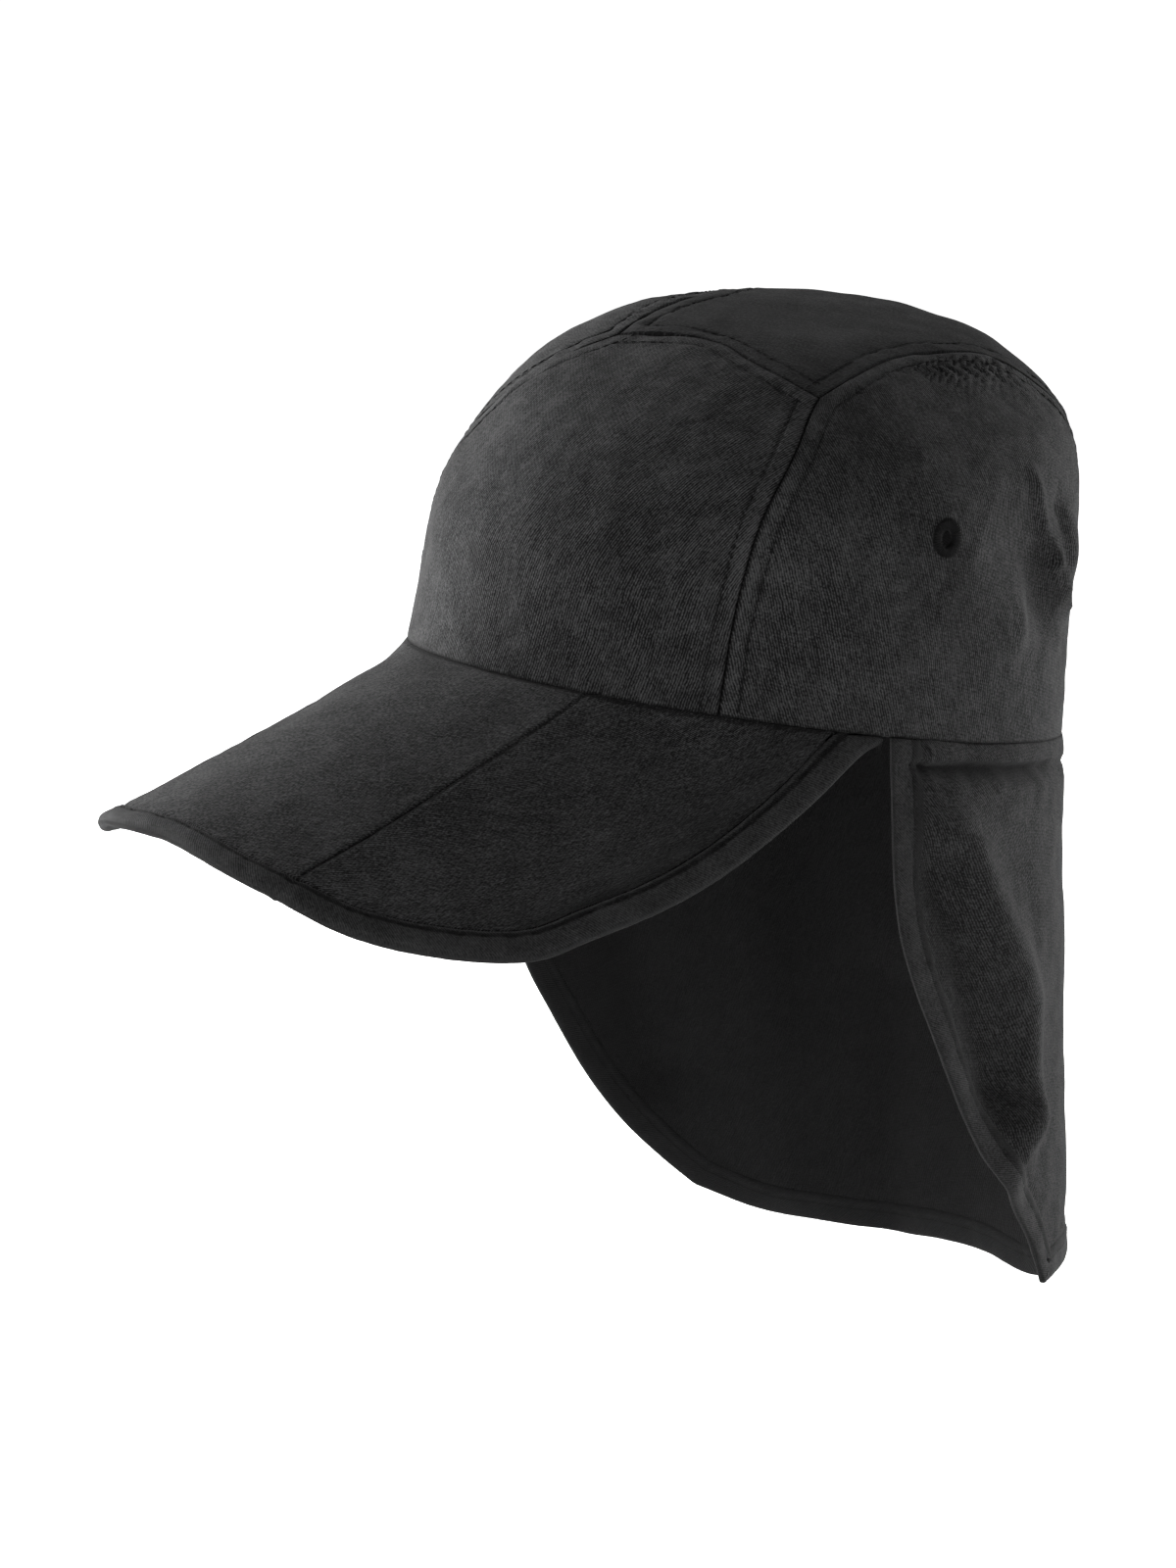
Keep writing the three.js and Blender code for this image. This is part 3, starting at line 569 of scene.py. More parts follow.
def cloth_uv(points):
    """Cloth coordinates in millimetres, straight along the middle row and column"""
    steps = np.linalg.norm(np.diff(points, axis=1), axis=-1)
    u = np.concatenate([np.zeros((len(points), 1)), np.cumsum(steps, 1)], 1)
    u -= u[:, u.shape[1] // 2][:, None]
    rises = np.linalg.norm(np.diff(points, axis=0), axis=-1)
    v = np.concatenate([np.zeros((1, points.shape[1])), np.cumsum(rises, 0)], 0)
    return np.stack([u, v], -1)


def sunk_edges(outer, normals, depth):
    """Turns the outermost row and column of the cloth down into its seam"""
    depth = np.broadcast_to(depth, outer.shape[:2])
    for edge in (np.s_[0], np.s_[-1], np.s_[:, 0], np.s_[:, -1]):
        outer[edge] -= normals[edge] * depth[edge][..., None]
    return outer


def cloth_piece(name, node, base, normals, relief, wall, edge, material, kept=None, sink=1.0,
                painted_outer_shade=0.0):
    outer = sunk_edges(base + normals * relief[..., None], normals, sink)
    inner = base - normals * wall
    if kept is None:
        kept = np.ones((base.shape[0] - 1, base.shape[1] - 1), bool)
    vertices = np.concatenate([outer.reshape(-1, 3), inner.reshape(-1, 3)])
    uv = np.tile(cloth_uv(base).reshape(-1, 2), (2, 1))
    edges = np.tile(edge.reshape(-1), 2)
    # The inner face is all painted shade, and the outer face takes the painted shade given for it
    painted_shade = np.concatenate([np.broadcast_to(painted_outer_shade, base.shape[:2]), np.ones(base.shape[:2])])
    painted_shade = painted_shade.reshape(-1)
    faces = shell_faces(kept)
    used = np.unique(np.concatenate([np.array(face) for face in faces]))
    place = np.full(len(vertices), -1)
    place[used] = np.arange(len(used))
    faces = [[int(place[corner]) for corner in face] for face in faces]
    piece = make_piece(name, vertices[used], faces, uv[used], edges[used], painted_shade[used], material)
    place_piece(piece, node)
    return piece


def declare_sheet(base):
    area = grid_area(base)


def along_seams(points, names):
    return np.min([distance_to(points, seam_lines[name]) for name in names], axis=0)


# Materials

# Colours of the cloth where it is darkest and where it has faded; the top panel and the flap take
# darker faded colours as painted shade
DARK = (0.004, 0.004, 0.0041)
LIGHT = (0.049, 0.049, 0.0498)
TOP_LIGHT_WITH_PAINTED_SHADE = (0.026, 0.026, 0.0264)
FLAP_LIGHT_WITH_PAINTED_SHADE = (0.037, 0.037, 0.0375)
TAPE_LIGHT = (0.04, 0.04, 0.0406)
TAPE_TURN = 38.0
TAPE_PITCH = 0.62


def add_node(tree, kind, settings=None, sockets=()):
    """Adds a node. Its sockets are given as values or as the sockets that feed them"""
    made = tree.nodes.new(kind)
    for key, value in (settings or {}).items():
        setattr(made, key, value)
    pairs = sockets.items() if isinstance(sockets, dict) else enumerate(sockets)
    for key, value in pairs:
        if isinstance(value, Number):
            value = value.socket
        if isinstance(value, bpy.types.NodeSocket):
            tree.links.new(value, made.inputs[key])
        else:
            made.inputs[key].default_value = value
    return made


class Number:
    """A shader value, so that sums of sockets read as plain expressions"""

    def __init__(self, paint, socket):
        self.paint = paint
        self.socket = socket

    def math(self, operation, *others):
        node = self.paint.node("ShaderNodeMath", {"operation": operation}, [self, *others])
        return Number(self.paint, node.outputs[0])

    def __add__(self, other):
        return self.math("ADD", other)

    def __sub__(self, other):
        return self.math("SUBTRACT", other)

    def __rsub__(self, other):
        return self.paint.number(other).math("SUBTRACT", self)

    def __mul__(self, other):
        return self.math("MULTIPLY", other)

    def __truediv__(self, other):
        return self.math("DIVIDE", other)

    __radd__ = __add__
    __rmul__ = __mul__


class Paint:
    """Nodes of one material"""

    def __init__(self, name):
        self.material = bpy.data.materials.new(name)
        self.material.use_nodes = True
        self.tree = self.material.node_tree
        self.tree.nodes.clear()

    def node(self, kind, settings=None, sockets=()):
        return add_node(self.tree, kind, settings, sockets)

    def number(self, value):
        node = self.node("ShaderNodeValue")
        node.outputs[0].default_value = value
        return Number(self, node.outputs[0])

    def attribute(self, name):
        return Number(self, self.node("ShaderNodeAttribute", {"attribute_name": name}).outputs[2])

    def noise(self, vector, scale, detail=2.0, roughness=0.5):
        sockets = {"Vector": vector, "Scale": scale, "Detail": detail, "Roughness": roughness}
        node = self.node("ShaderNodeTexNoise", None, sockets)
        return Number(self, node.outputs[0])

    def blend(self, share, first, second):
        settings = {"data_type": "RGBA"}
        sockets = {0: share, 6: (*first, 1) if isinstance(first, tuple) else first,
                   7: (*second, 1) if isinstance(second, tuple) else second}
        return self.node("ShaderNodeMix", settings, sockets).outputs[2]

    def band(self, value, low, high):
        """0 below low and 1 above high"""
        settings = {"interpolation_type": "SMOOTHSTEP"}
        sockets = {"Value": value, "From Min": low, "From Max": high}
        return Number(self, self.node("ShaderNodeMapRange", settings, sockets).outputs[0])

    def cloth_axes(self, turn):
        """The cloth's UV, and its places across and along the weave"""
        uv = self.node("ShaderNodeUVMap", {"uv_map": "cloth"}).outputs[0]
        sockets = {"Vector": uv, "Rotation": (0, 0, math.radians(turn))}
        turned = self.node("ShaderNodeMapping", None, sockets)
        axes = self.node("ShaderNodeSeparateXYZ", None, [turned.outputs[0]])
        return uv, Number(self, axes.outputs[0]), Number(self, axes.outputs[1])

    def with_painted_shade(self, shade):
        """Shade from 0 to 1, darkened where the mesh carries painted shade"""
        # Painted shade darkens the cloth on inner faces, tape undersides, gathers, the flap's tuck
        # groove and the flap binding's ridge
        painted_shade = self.attribute("painted_shade")
        shade = shade * (1 - painted_shade * 0.85) + painted_shade * 0.07
        return shade.math("MAXIMUM", 0.0).math("MINIMUM", 1.0)

    def finish(self, color, roughness, height, bump, sheen):
        bumped = self.node("ShaderNodeBump", None, {"Height": height, "Distance": bump})
        sockets = {
            "Base Color": color, "Roughness": roughness, "Normal": bumped.outputs[0],
            "Sheen Weight": sheen, "Sheen Roughness": 0.5, "Sheen Tint": (0.8, 0.8, 0.8, 1),
            "Specular IOR Level": 0.06,
        }
        return self.show(sockets)

    def show(self, sockets):
        """Ends the material in its shader, with the sockets as given"""
        shader = self.node("ShaderNodeBsdfPrincipled", None, sockets)
        self.node("ShaderNodeOutputMaterial", None, [shader.outputs[0]])
        return self.material


def twill(name, turn, pitch, light, worn, fuzz, sewn=1.0):
    """Black twill: fine slanting ribs, yarns of uneven shade, faded patches and worn seam rolls.
    Turn is in degrees and pitch in millimetres. Worn lightens the seam rolls, fuzz is the
    contrast of the grain, and sewn is 0 where the seams have no stitch line beside them."""
    paint = Paint(name)
    uv, across, along = paint.cloth_axes(turn)
    edge = paint.attribute("edge")
    slub = paint.noise(uv, 0.35, 3.0)
    phase = (across + slub * 0.8) / pitch
    ribs = (phase * (2 * math.pi)).math("SINE") * 0.5 + 0.5
    steps = ((along / (pitch * 1.5) + phase * 0.5) * (2 * math.pi)).math("SINE") * 0.5 + 0.5
    weave = ribs * (steps * 0.4 + 0.6)
    yarns = paint.node("ShaderNodeCombineXYZ", None, [across, along * 0.16]).outputs[0]
    streaks = paint.noise(yarns, 1.1, 3.0, 0.65)
    grain = paint.noise(uv, 1.15, 3.0, 0.75)
    patches = paint.noise(uv, 0.035, 4.0, 0.6)
    mottle = paint.noise(uv, 0.16, 3.0, 0.6)
    roll = paint.band(edge, 0.5, 1.3) * (1 - paint.band(edge, 2.2, 4.2))
    valley = 1 - paint.band(edge, 0.15, 0.7)
    stitched = (1 - paint.band((edge - STITCH_LINE).math("ABSOLUTE"), 0.2, 0.8)) * sewn
    shade = (weave - 0.4) * 0.8 + (grain - 0.5) * fuzz + (streaks - 0.5) * 1.2 + 0.33
    shade = shade + (patches - 0.5) * 0.8 + (mottle - 0.5) * 0.6
    # Worn seam rolls are lighter, and painted shade darkens the seam valleys and the dips of the
    # stitch lines
    shade = shade + roll * worn * (mottle + 0.3) - valley * 0.4 - stitched * 0.15
    shade = paint.with_painted_shade(shade)
    color = paint.blend(shade, DARK, light)
    height = weave * 0.7 + grain * 1.6 - valley * 1.2 - stitched * 1.2
    roughness = 0.95 - shade * 0.12
    return paint.finish(color, roughness, height, 0.00016, 0.03)


def tape(name, light):
    """Binding tape: fine ribs across it and a stitched groove"""
    paint = Paint(name)
    uv, across, _ = paint.cloth_axes(TAPE_TURN)
    edge = paint.attribute("edge")
    ribs = (across * (2 * math.pi / TAPE_PITCH) + paint.noise(uv, 0.5) * 3).math("SINE") * 0.5 + 0.5
    grain = paint.noise(uv, 1.2, 3.0, 0.75)
    mottle = paint.noise(uv, 0.12, 4.0, 0.6)
    stitched = 1 - paint.band(edge, 0.2, 0.9)
    # Painted shade darkens the stitched groove
    shade = ribs * 0.4 + (grain - 0.5) * 2.0 + (mottle - 0.5) * 0.9 + 0.25 - stitched * 0.5
    shade = paint.with_painted_shade(shade)
    color = paint.blend(shade, DARK, light)
    height = ribs * 0.6 + grain - stitched * 1.2
    return paint.finish(color, 0.92 - shade * 0.1, height, 0.00013, 0.03)


def thread_paint(name):
    """Black sewing thread with the twist of its strands"""
    paint = Paint(name)
    place = paint.node("ShaderNodeTexCoord").outputs["Object"]
    grain = paint.noise(place, 2600.0, 2.0)
    strands = paint.noise(place, 900.0, 1.0)
    color = paint.blend(strands, (0.001, 0.001, 0.001), (0.009, 0.009, 0.0092))
    return paint.finish(color, 0.85 - strands * 0.15, grain, 0.00008, 0.0)


front_twill = twill("front_twill", turn=3, pitch=0.72, light=LIGHT, worn=0.15, fuzz=2.1)
side_twill = twill("side_twill", turn=-28, pitch=0.72, light=LIGHT, worn=0.18, fuzz=2.3)
# The top panel's and the flap's twills are shaded copies: their faded colour is darker as painted
# shade
top_twill = twill("top_twill", turn=62, pitch=0.72, light=TOP_LIGHT_WITH_PAINTED_SHADE, worn=0.15, fuzz=3.2)
peak_twill = twill("peak_twill", turn=40, pitch=0.66, light=LIGHT, worn=0.0, fuzz=3.4, sewn=0.0)
flap_twill = twill("flap_twill", turn=-24, pitch=0.74, light=FLAP_LIGHT_WITH_PAINTED_SHADE, worn=0.05, fuzz=3.0,
                   sewn=0.0)
binding_tape = tape("binding_tape", TAPE_LIGHT)
black_thread = thread_paint("black_thread")


# Crown panels

def crown_panel(name, sides, names, seed, gathered, material, hole=None):
    across, up, bottom, top, left, right = sides
    spots = patch(bottom, top, left, right, across, up)
    base = crown_surface(spots)
    normals = crown_outward(spots)
    edge = along_seams(base, names)
    rim = distance_to(base, rim_line)
    relief = seam_relief(edge, base) + cloth_swell(base, seed) * smoothstep(rim, 0, 12)
    relief += fold_relief(base) - 0.3 * bell(rim, 0.6)
    painted_outer_shade = np.zeros(edge.shape)
    # The gathers' pinch sinks the cloth and also paints shade at the bottom of each gather
    if gathered:
        painted_outer_shade = gather_pinch(spots)
        relief -= GATHER_DEPTH * painted_outer_shade
    edge = shaded_rim(edge, rim)
    base[..., 2] -= RIM_CLOSE * bell(rim, 1.5)
    sink = np.where(rim < 0.05, 0.3, 1.1)
    kept = None
    if hole is not None:
        centres = (base[1:, 1:] + base[:-1, :-1] + base[1:, :-1] + base[:-1, 1:]) / 4
        kept = np.linalg.norm(centres - hole, axis=-1) > EYELET_HOLE / 2 + 1.2
    piece = cloth_piece(name, name.replace("_cloth", ""), base, normals, relief, CROWN_WALL,
                        edge, material, kept, sink, painted_outer_shade)
    declare_sheet(base)


seam_angle = FRONT_SIDE_SEAM[0][0]
back_angle = TOP_SIDE_SEAM[-1][0]


def rim_between(start, end, shares):
    angles = start + (end - start) * shares
    return on_disc(angles, np.zeros(len(angles)))


def front_sides():
    across = edge_shares(PANEL_WIDTHS["front"])
    up = edge_shares(PANEL_HEIGHTS["front"])
    return (across, up, rim_between(-seam_angle, seam_angle, across),
            at_shares(seams["front_top"], across), at_shares(seams["front_right"], up),
            at_shares(seams["front_left"], up))


def top_sides():
    across = edge_shares(PANEL_WIDTHS["top"])
    up = edge_shares(PANEL_HEIGHTS["top"])
    return (across, up, at_shares(seams["front_top"], across),
            rim_between(-back_angle, back_angle - 360, across), at_shares(seams["top_right"], up),
            at_shares(seams["top_left"], up))


def side_sides(hand):
    across = edge_shares(PANEL_WIDTHS["side"], GATHER_CELL)
    up = edge_shares(PANEL_HEIGHTS["side"])
    seam = seams["top_left" if hand > 0 else "top_right"]
    front = at_shares(seams["front_left" if hand > 0 else "front_right"], up)
    over = at_shares(seam, across * SIDE_CORNER)
    back = at_shares(seam, 1 - up * (1 - SIDE_CORNER))
    rim = rim_between(hand * seam_angle, hand * back_angle, across)
    return across, up, rim, over, front, back


def eyelet_place(hand):
    turn = math.radians(hand * EYELET_ANGLE)
    spot = np.array([math.sin(turn), -math.cos(turn)]) * (1 - EYELET_CLIMB)
    return crown_surface(spot), crown_outward(spot)


left_eye, left_out = eyelet_place(1)
right_eye, right_out = eyelet_place(-1)
crown_panel("front_panel_cloth", front_sides(), ("front_left", "front_right", "front_top"), 11,
            False, front_twill)
crown_panel("top_panel_cloth", top_sides(), ("top_left", "top_right", "front_top"), 12, False,
            top_twill)
crown_panel("left_side_panel_cloth", side_sides(1), ("front_left", "top_left"), 13, True,
            side_twill, left_eye)
crown_panel("right_side_panel_cloth", side_sides(-1), ("front_right", "top_right"), 14, True,
            side_twill, right_eye)


# Peak

crease_start = rim_point(CREASE_ANGLE)
crease_x = crease_start[0]
corner_back = rim_point(PEAK_CORNER_ANGLE)[1] - crease_start[1]
peak_tuck = 1 - CROWN_WALL / RIM_HALF_WIDTH


def peak_plane(x, y):
    forward = crease_start[1] - y
    arch_height = math.tan(math.radians(PEAK_ARCH_SLOPE)) * crease_x / 2
    arch = arch_height * (1 - np.minimum(np.abs(x) / crease_x, 1) ** 2)
    side = np.maximum(np.abs(x) - crease_x, 0)
    drop = math.tan(math.radians(PEAK_DROOP)) * forward
    drop = drop + math.tan(math.radians(PEAK_SIDE_SLOPE)) * side
    part = forward / PEAK_LENGTH
    roll = PEAK_ROLL * part * x / peak_half_width
    back = np.maximum(PEAK_SAG_START - forward, 0) / (PEAK_SAG_START + corner_back)
    sag = PEAK_CORNER_SAG * back ** 2 * side / (peak_half_width - crease_x)
    return rim_height(CREASE_ANGLE) - drop - sag + arch + PEAK_UPTURN * part ** 2 - roll


def rim_share(spots):
    return np.hypot(spots[..., 0] / RIM_HALF_WIDTH, spots[..., 1] / RIM_HALF_LENGTH)


def peak_surface(spots):
    x, y = spots[..., 0], spots[..., 1]
    share = rim_share(spots)
    angle = np.degrees(np.arctan2(x / RIM_HALF_WIDTH, -y / RIM_HALF_LENGTH))
    foot = rim_point(angle)
    foot_height = rim_height(angle) - RIM_GAP
    lift = foot_height - peak_plane(foot[..., 0], foot[..., 1])
    apart = np.maximum(share - 1, 0) * np.linalg.norm(foot, axis=-1)
    z = np.where(share <= 1, foot_height, peak_plane(x, y) + lift * np.exp(-apart / PEAK_BLEND))
    return np.stack([x, y, z], -1)


def peak_outward(spots):
    return normal_of(peak_surface, spots, PEAK_STEP)


def inset_line(line, distance):
    """A line moved to the left of its run"""
    run = np.empty_like(line)
    run[1:-1] = line[2:] - line[:-2]
    run[0] = line[1] - line[0]
    run[-1] = line[-1] - line[-2]
    run = unit(run)
    return line + distance * np.stack([-run[:, 1], run[:, 0]], -1)


peak_half = [rim_point(PEAK_CORNER_ANGLE)]
peak_half += [np.array([a * peak_half_width, -f * peak_reach]) for a, f in PEAK_EDGE]
peak_other = [spot * (-1, 1) for spot in peak_half[-2::-1]]
peak_edge = even(smooth_line(peak_half + peak_other), 480)
peak_inset = inset_line(peak_edge, -PEAK_BINDING_WIDTH)


def middle_sides():
    front = peak_inset[np.abs(peak_inset[:, 0]) <= crease_x][::-1]
    across = edge_shares(2 * crease_x)
    up = edge_shares(PANEL_HEIGHTS["peak_middle"])
    bottom = at_shares(front, across)
    bottom[0, 0] = -crease_x
    bottom[-1, 0] = crease_x
    top = rim_point(CREASE_ANGLE * (2 * across - 1), peak_tuck)
    return (across, up, bottom, top, straight(bottom[0], top[0], up),
            straight(bottom[-1], top[-1], up))


def left_sides():
    outside = (rim_share(peak_inset) >= peak_tuck) & (peak_inset[:, 0] > crease_x)
    inset = peak_inset[outside]
    turn = int(round((len(inset) - 1) * PEAK_TURN_SHARE))
    slant = math.degrees(math.atan2(inset[0, 0] / RIM_HALF_WIDTH, -inset[0, 1] / RIM_HALF_LENGTH))
    across = edge_shares(PANEL_WIDTHS["peak_side"])
    up = edge_shares(PANEL_HEIGHTS["peak_side"])
    top = rim_point(CREASE_ANGLE + (slant - CREASE_ANGLE) * across, peak_tuck)
    side = np.vstack([top[-1:], inset[1:turn + 1]])
    bottom = at_shares(inset[turn:][::-1], across)
    bottom[0, 0] = crease_x
    return across, up, bottom, top, straight(bottom[0], top[0], up), at_shares(side[::-1], up)


def peak_section(name, sides, seed, hand=1):
    across, up, bottom, top, left, right = sides
    spots = patch(bottom, top, left, right, across, up) * (hand, 1)
    base = peak_surface(spots)
    normals = peak_outward(spots)
    crease = np.abs(np.abs(spots[..., 0]) - crease_x)
    binding = distance_to(spots, peak_inset)
    uneven = 1 + 0.3 * ripples(base, 6, 5)
    relief = 0.06 * bell(crease - 2.2, 1.6) * uneven - 0.4 * bell(crease, 0.5)
    relief += 0.12 * ripples(base, 30, seed) + 0.05 * ripples(base, 9, seed + 50)
    relief += 0.1 * bell(binding, 4) * ripples(base, 4.5, 6) - 0.25 * bell(binding, 0.8)
    rim = (rim_share(spots) - 1) * RIM_HALF_LENGTH
    relief *= smoothstep(rim, 0, 3)
    # Painted shade of the seam valley along the crease, beside the binding and at the rim
    edge = shaded_rim(np.minimum(crease, binding + 0.4), np.maximum(rim, 0))
    if hand < 0:
        base, normals, relief, edge = (a[:, ::-1] for a in (base, normals, relief, edge))
    cloth_piece(name, name.replace("_cloth", ""), base, normals, relief, PEAK_THICKNESS, edge,
                peak_twill, sink=0.3)


peak_section("peak_middle_cloth", middle_sides(), 21)
peak_section("peak_left_cloth", left_sides(), 22)
peak_section("peak_right_cloth", left_sides(), 23, -1)


# Bindings

def band_piece(name, node, outer_line, inner_line, surface, outward, thickness, rise, groove,
               ridge, ridge_painted_shade, seed):
    """Tape folded over an edge: a rounded section with a stitched groove, swept along the edge"""
    count = len(outer_line)
    turns = 2 * math.pi * (np.arange(BAND_CORNERS) + 0.5) / BAND_CORNERS
    across = 0.5 + 0.5 * np.sign(np.cos(turns)) * np.abs(np.cos(turns)) ** BAND_SQUARENESS
    lifted = np.sign(np.sin(turns)) * np.abs(np.sin(turns)) ** BAND_SQUARENESS
    spots = inner_line[:, None] + (outer_line - inner_line)[:, None] * across[None, :, None]
    base = surface(spots)
    uneven = 1 + 0.05 * ripples(base, 9, seed)
    dip = groove * bell(across - ridge, 0.05)[None] * (1 + 0.4 * ripples(base, 4, seed + 1))
    half = thickness / 2 * uneven - dip - 0.08 * bell(across - ridge, 0.2) * ripples(base, 5, 8)
    height = rise - thickness / 2 + half * lifted[None]
    vertices = base + outward(spots) * height[..., None]
    along = lengths_along(outer_line)
    width = np.linalg.norm(outer_line - inner_line, axis=1).mean()
    round_section = np.concatenate([[0], np.cumsum(np.abs(np.diff(across)) * width + 0.1)])
    uv = np.stack(np.broadcast_arrays(along[:, None], round_section[None]), -1)
    edge = np.broadcast_to(np.abs(across - ridge) * width, (count, BAND_CORNERS))
    faces = []
    for ring in range(count - 1):
        for corner in range(BAND_CORNERS):
            a = ring * BAND_CORNERS + corner
            b = ring * BAND_CORNERS + (corner + 1) % BAND_CORNERS
            faces.append([a, b, b + BAND_CORNERS, a + BAND_CORNERS])
    half_count = BAND_CORNERS // 2
    for ring, turned in ((0, True), (count - 1, False)):
        start = ring * BAND_CORNERS
        for corner in range(half_count - 1):
            a, b = start + corner, start + corner + 1
            c = start + BAND_CORNERS - 2 - corner
            quad = [a, c + 1, c, b] if not turned else [a, b, c, c + 1]
            faces.append(quad[::-1])
    # Painted shade on the tape's underside and along its rolled outer edge, and on the ridge by the
    # amount given for it
    painted_shade = np.where(across < ridge, ridge_painted_shade, 0.8 * smoothstep(across, 0.9, 1))
    painted_shade = np.where(lifted < 0, 1.0, painted_shade)
    painted_shade = np.broadcast_to(painted_shade, (count, BAND_CORNERS))
    piece = make_piece(name, vertices.reshape(-1, 3), faces, uv.reshape(-1, 2),
                       edge.reshape(-1), painted_shade.reshape(-1), binding_tape)
    place_piece(piece, node)
    return piece


def crease_pinch(spots):
    """Pull of the crease on the binding at the front of the peak"""
    near = bell(np.abs(spots[..., 0]) - crease_x, 1.2)
    return near * smoothstep(-spots[..., 1], peak_reach * 0.8, peak_reach * 0.9)


def peak_binding_surface(spots):
    points = peak_surface(spots)
    points[..., 2] -= peak_rise * (1 - smoothstep(rim_share(spots), 1, PEAK_SINK_SHARE))
    points[..., 2] -= CREASE_PINCH_DROP * crease_pinch(spots)
    return points


peak_rings = int(lengths_along(peak_edge)[-1] / BAND_STEP)
peak_outer = even(peak_edge, peak_rings)
peak_inner = inset_line(peak_outer, -PEAK_BINDING_WIDTH + 0.1)
peak_pull = CREASE_PINCH_PULL * crease_pinch(peak_outer)[:, None]
pinched = peak_outer + (peak_inner - peak_outer) * peak_pull
band_piece("peak_binding_tape", "peak_binding", pinched, peak_inner, peak_binding_surface,
           peak_outward, PEAK_BINDING_THICKNESS, peak_rise, groove=0.35,
           ridge=PEAK_STITCH_SHARE, ridge_painted_shade=0.0, seed=31)


# Neck flap

flap_angles = flap_start + flap_span * np.linspace(0, 1, 401)
flap_lengths = lengths_along(rim_point(flap_angles))


def along_of(share):
    return np.interp(share, np.linspace(0, 1, 401), flap_lengths)


def tuck_share(along):
    """How deep the tuck is at a place: it is open at the bindings and flattens to the back"""
    from_end = np.minimum(along, flap_lengths[-1] - along) / FLAP_LENGTH
    return smoothstep(from_end, 0, 0.08) * (1 - 0.75 * smoothstep(from_end, 0.3, 0.5))


def flap_push(along, drop):
    """How far the flap stands out at a place: its tuck, flare, folds and small swells"""
    share = drop / FLAP_LENGTH
    tuck = np.array(FLAP_TUCK)
    place = np.interp(share, tuck[:, 0], np.arange(len(tuck)))
    push = FLAP_LENGTH * column_at(tuck[:, 1], place) * tuck_share(along)
    push = push + FLAP_FLARE * share
    for start, start_drop, end, end_drop, width, height in FLAP_FOLDS:
        first = np.array([along_of(start), start_drop * FLAP_LENGTH])
        run = np.array([along_of(end), end_drop * FLAP_LENGTH]) - first
        spots = np.stack([along, drop], -1) - first
        part = np.clip((spots @ run) / (run @ run), 0, 1)
        apart = np.linalg.norm(spots - part[..., None] * run, axis=-1)
        push = push + height * FLAP_LENGTH * bell(apart, width * FLAP_LENGTH)
    return push


def flap_surface(spots):
    over = np.clip(spots[..., 0], 0, flap_lengths[-1])
    angle = np.interp(over, flap_lengths, flap_angles)
    plan = rim_point(angle)
    out = unit(plan / (RIM_HALF_WIDTH ** 2, RIM_HALF_LENGTH ** 2))
    plan = plan + out * flap_push(spots[..., 0], -spots[..., 1])[..., None]
    z = rim_height(angle) - RIM_GAP + spots[..., 1]
    return np.concatenate([plan, z[..., None]], -1)


def flap_outward(spots):
    return normal_of(flap_surface, spots, FLAP_STEP)


def flap_line(rows):
    rows = np.array(rows, float)
    return even(smooth_line(np.stack([along_of(rows[:, 0]), -rows[:, 1] * FLAP_LENGTH], -1)), 400)


flap_left = flap_line(FLAP_EDGE_LEFT)
flap_hem = flap_line(FLAP_HEM)
flap_right = flap_line(FLAP_EDGE_RIGHT)


def crossing(first, second):
    gaps = np.linalg.norm(first[:, None] - second[None], axis=-1)
    return np.unravel_index(gaps.argmin(), gaps.shape)


def neck_flap():
    inset = FLAP_BINDING_WIDTH - FLAP_UNDER_TAPE
    left = inset_line(flap_left, inset)
    hem = inset_line(flap_hem, inset)
    right = inset_line(flap_right, -inset)
    left_end, hem_start = crossing(left, hem)
    right_end, hem_end = crossing(right, hem)
    bottom_line = hem[hem_start:hem_end + 1]
    left_line = np.vstack([left[:left_end], bottom_line[:1]])
    right_line = np.vstack([right[:right_end], bottom_line[-1:]])
    left_line[0, 1] = 0
    right_line[0, 1] = 0
    across = edge_shares(flap_lengths[-1], FLAP_CELL)
    up = edge_shares(PANEL_HEIGHTS["flap"], FLAP_CELL)
    left_side = at_shares(left_line[::-1], up)
    right_side = at_shares(right_line[::-1], up)
    spots = patch(at_shares(bottom_line, across), straight(left_side[-1], right_side[-1], across),
                  left_side, right_side, across, up)
    base = flap_surface(spots)
    normals = flap_outward(spots)
    outline = np.vstack([left_line, bottom_line, right_line[::-1]])
    binding = distance_to(spots, outline)
    top = -spots[..., 1]
    relief = 0.3 * ripples(base, 40, 41) + 0.1 * ripples(base, 13, 42)
    relief += 0.25 * bell(binding - 2, 3) * ripples(base, 9, 43)
    relief += 0.15 * bell(top - 11, 7) * ripples(spots, 12, 44)
    relief *= smoothstep(binding, FLAP_UNDER_TAPE, 5)
    # Painted shadow in the tuck's groove under the rim
    groove = bell(top / FLAP_LENGTH - TUCK_GROOVE, 0.013) * tuck_share(spots[..., 0])
    base[..., 2] += FLAP_LIP * bell(top, 0.35)
    # The seam valley's painted shade runs beside the binding and along the top, under the rim
    piece = cloth_piece("neck_flap_cloth", "neck_flap", base, normals, relief, FLAP_THICKNESS,
                        np.minimum(binding + 0.4, np.abs(top) + 0.2), flap_twill,
                        painted_outer_shade=0.9 * groove)
    return piece, base


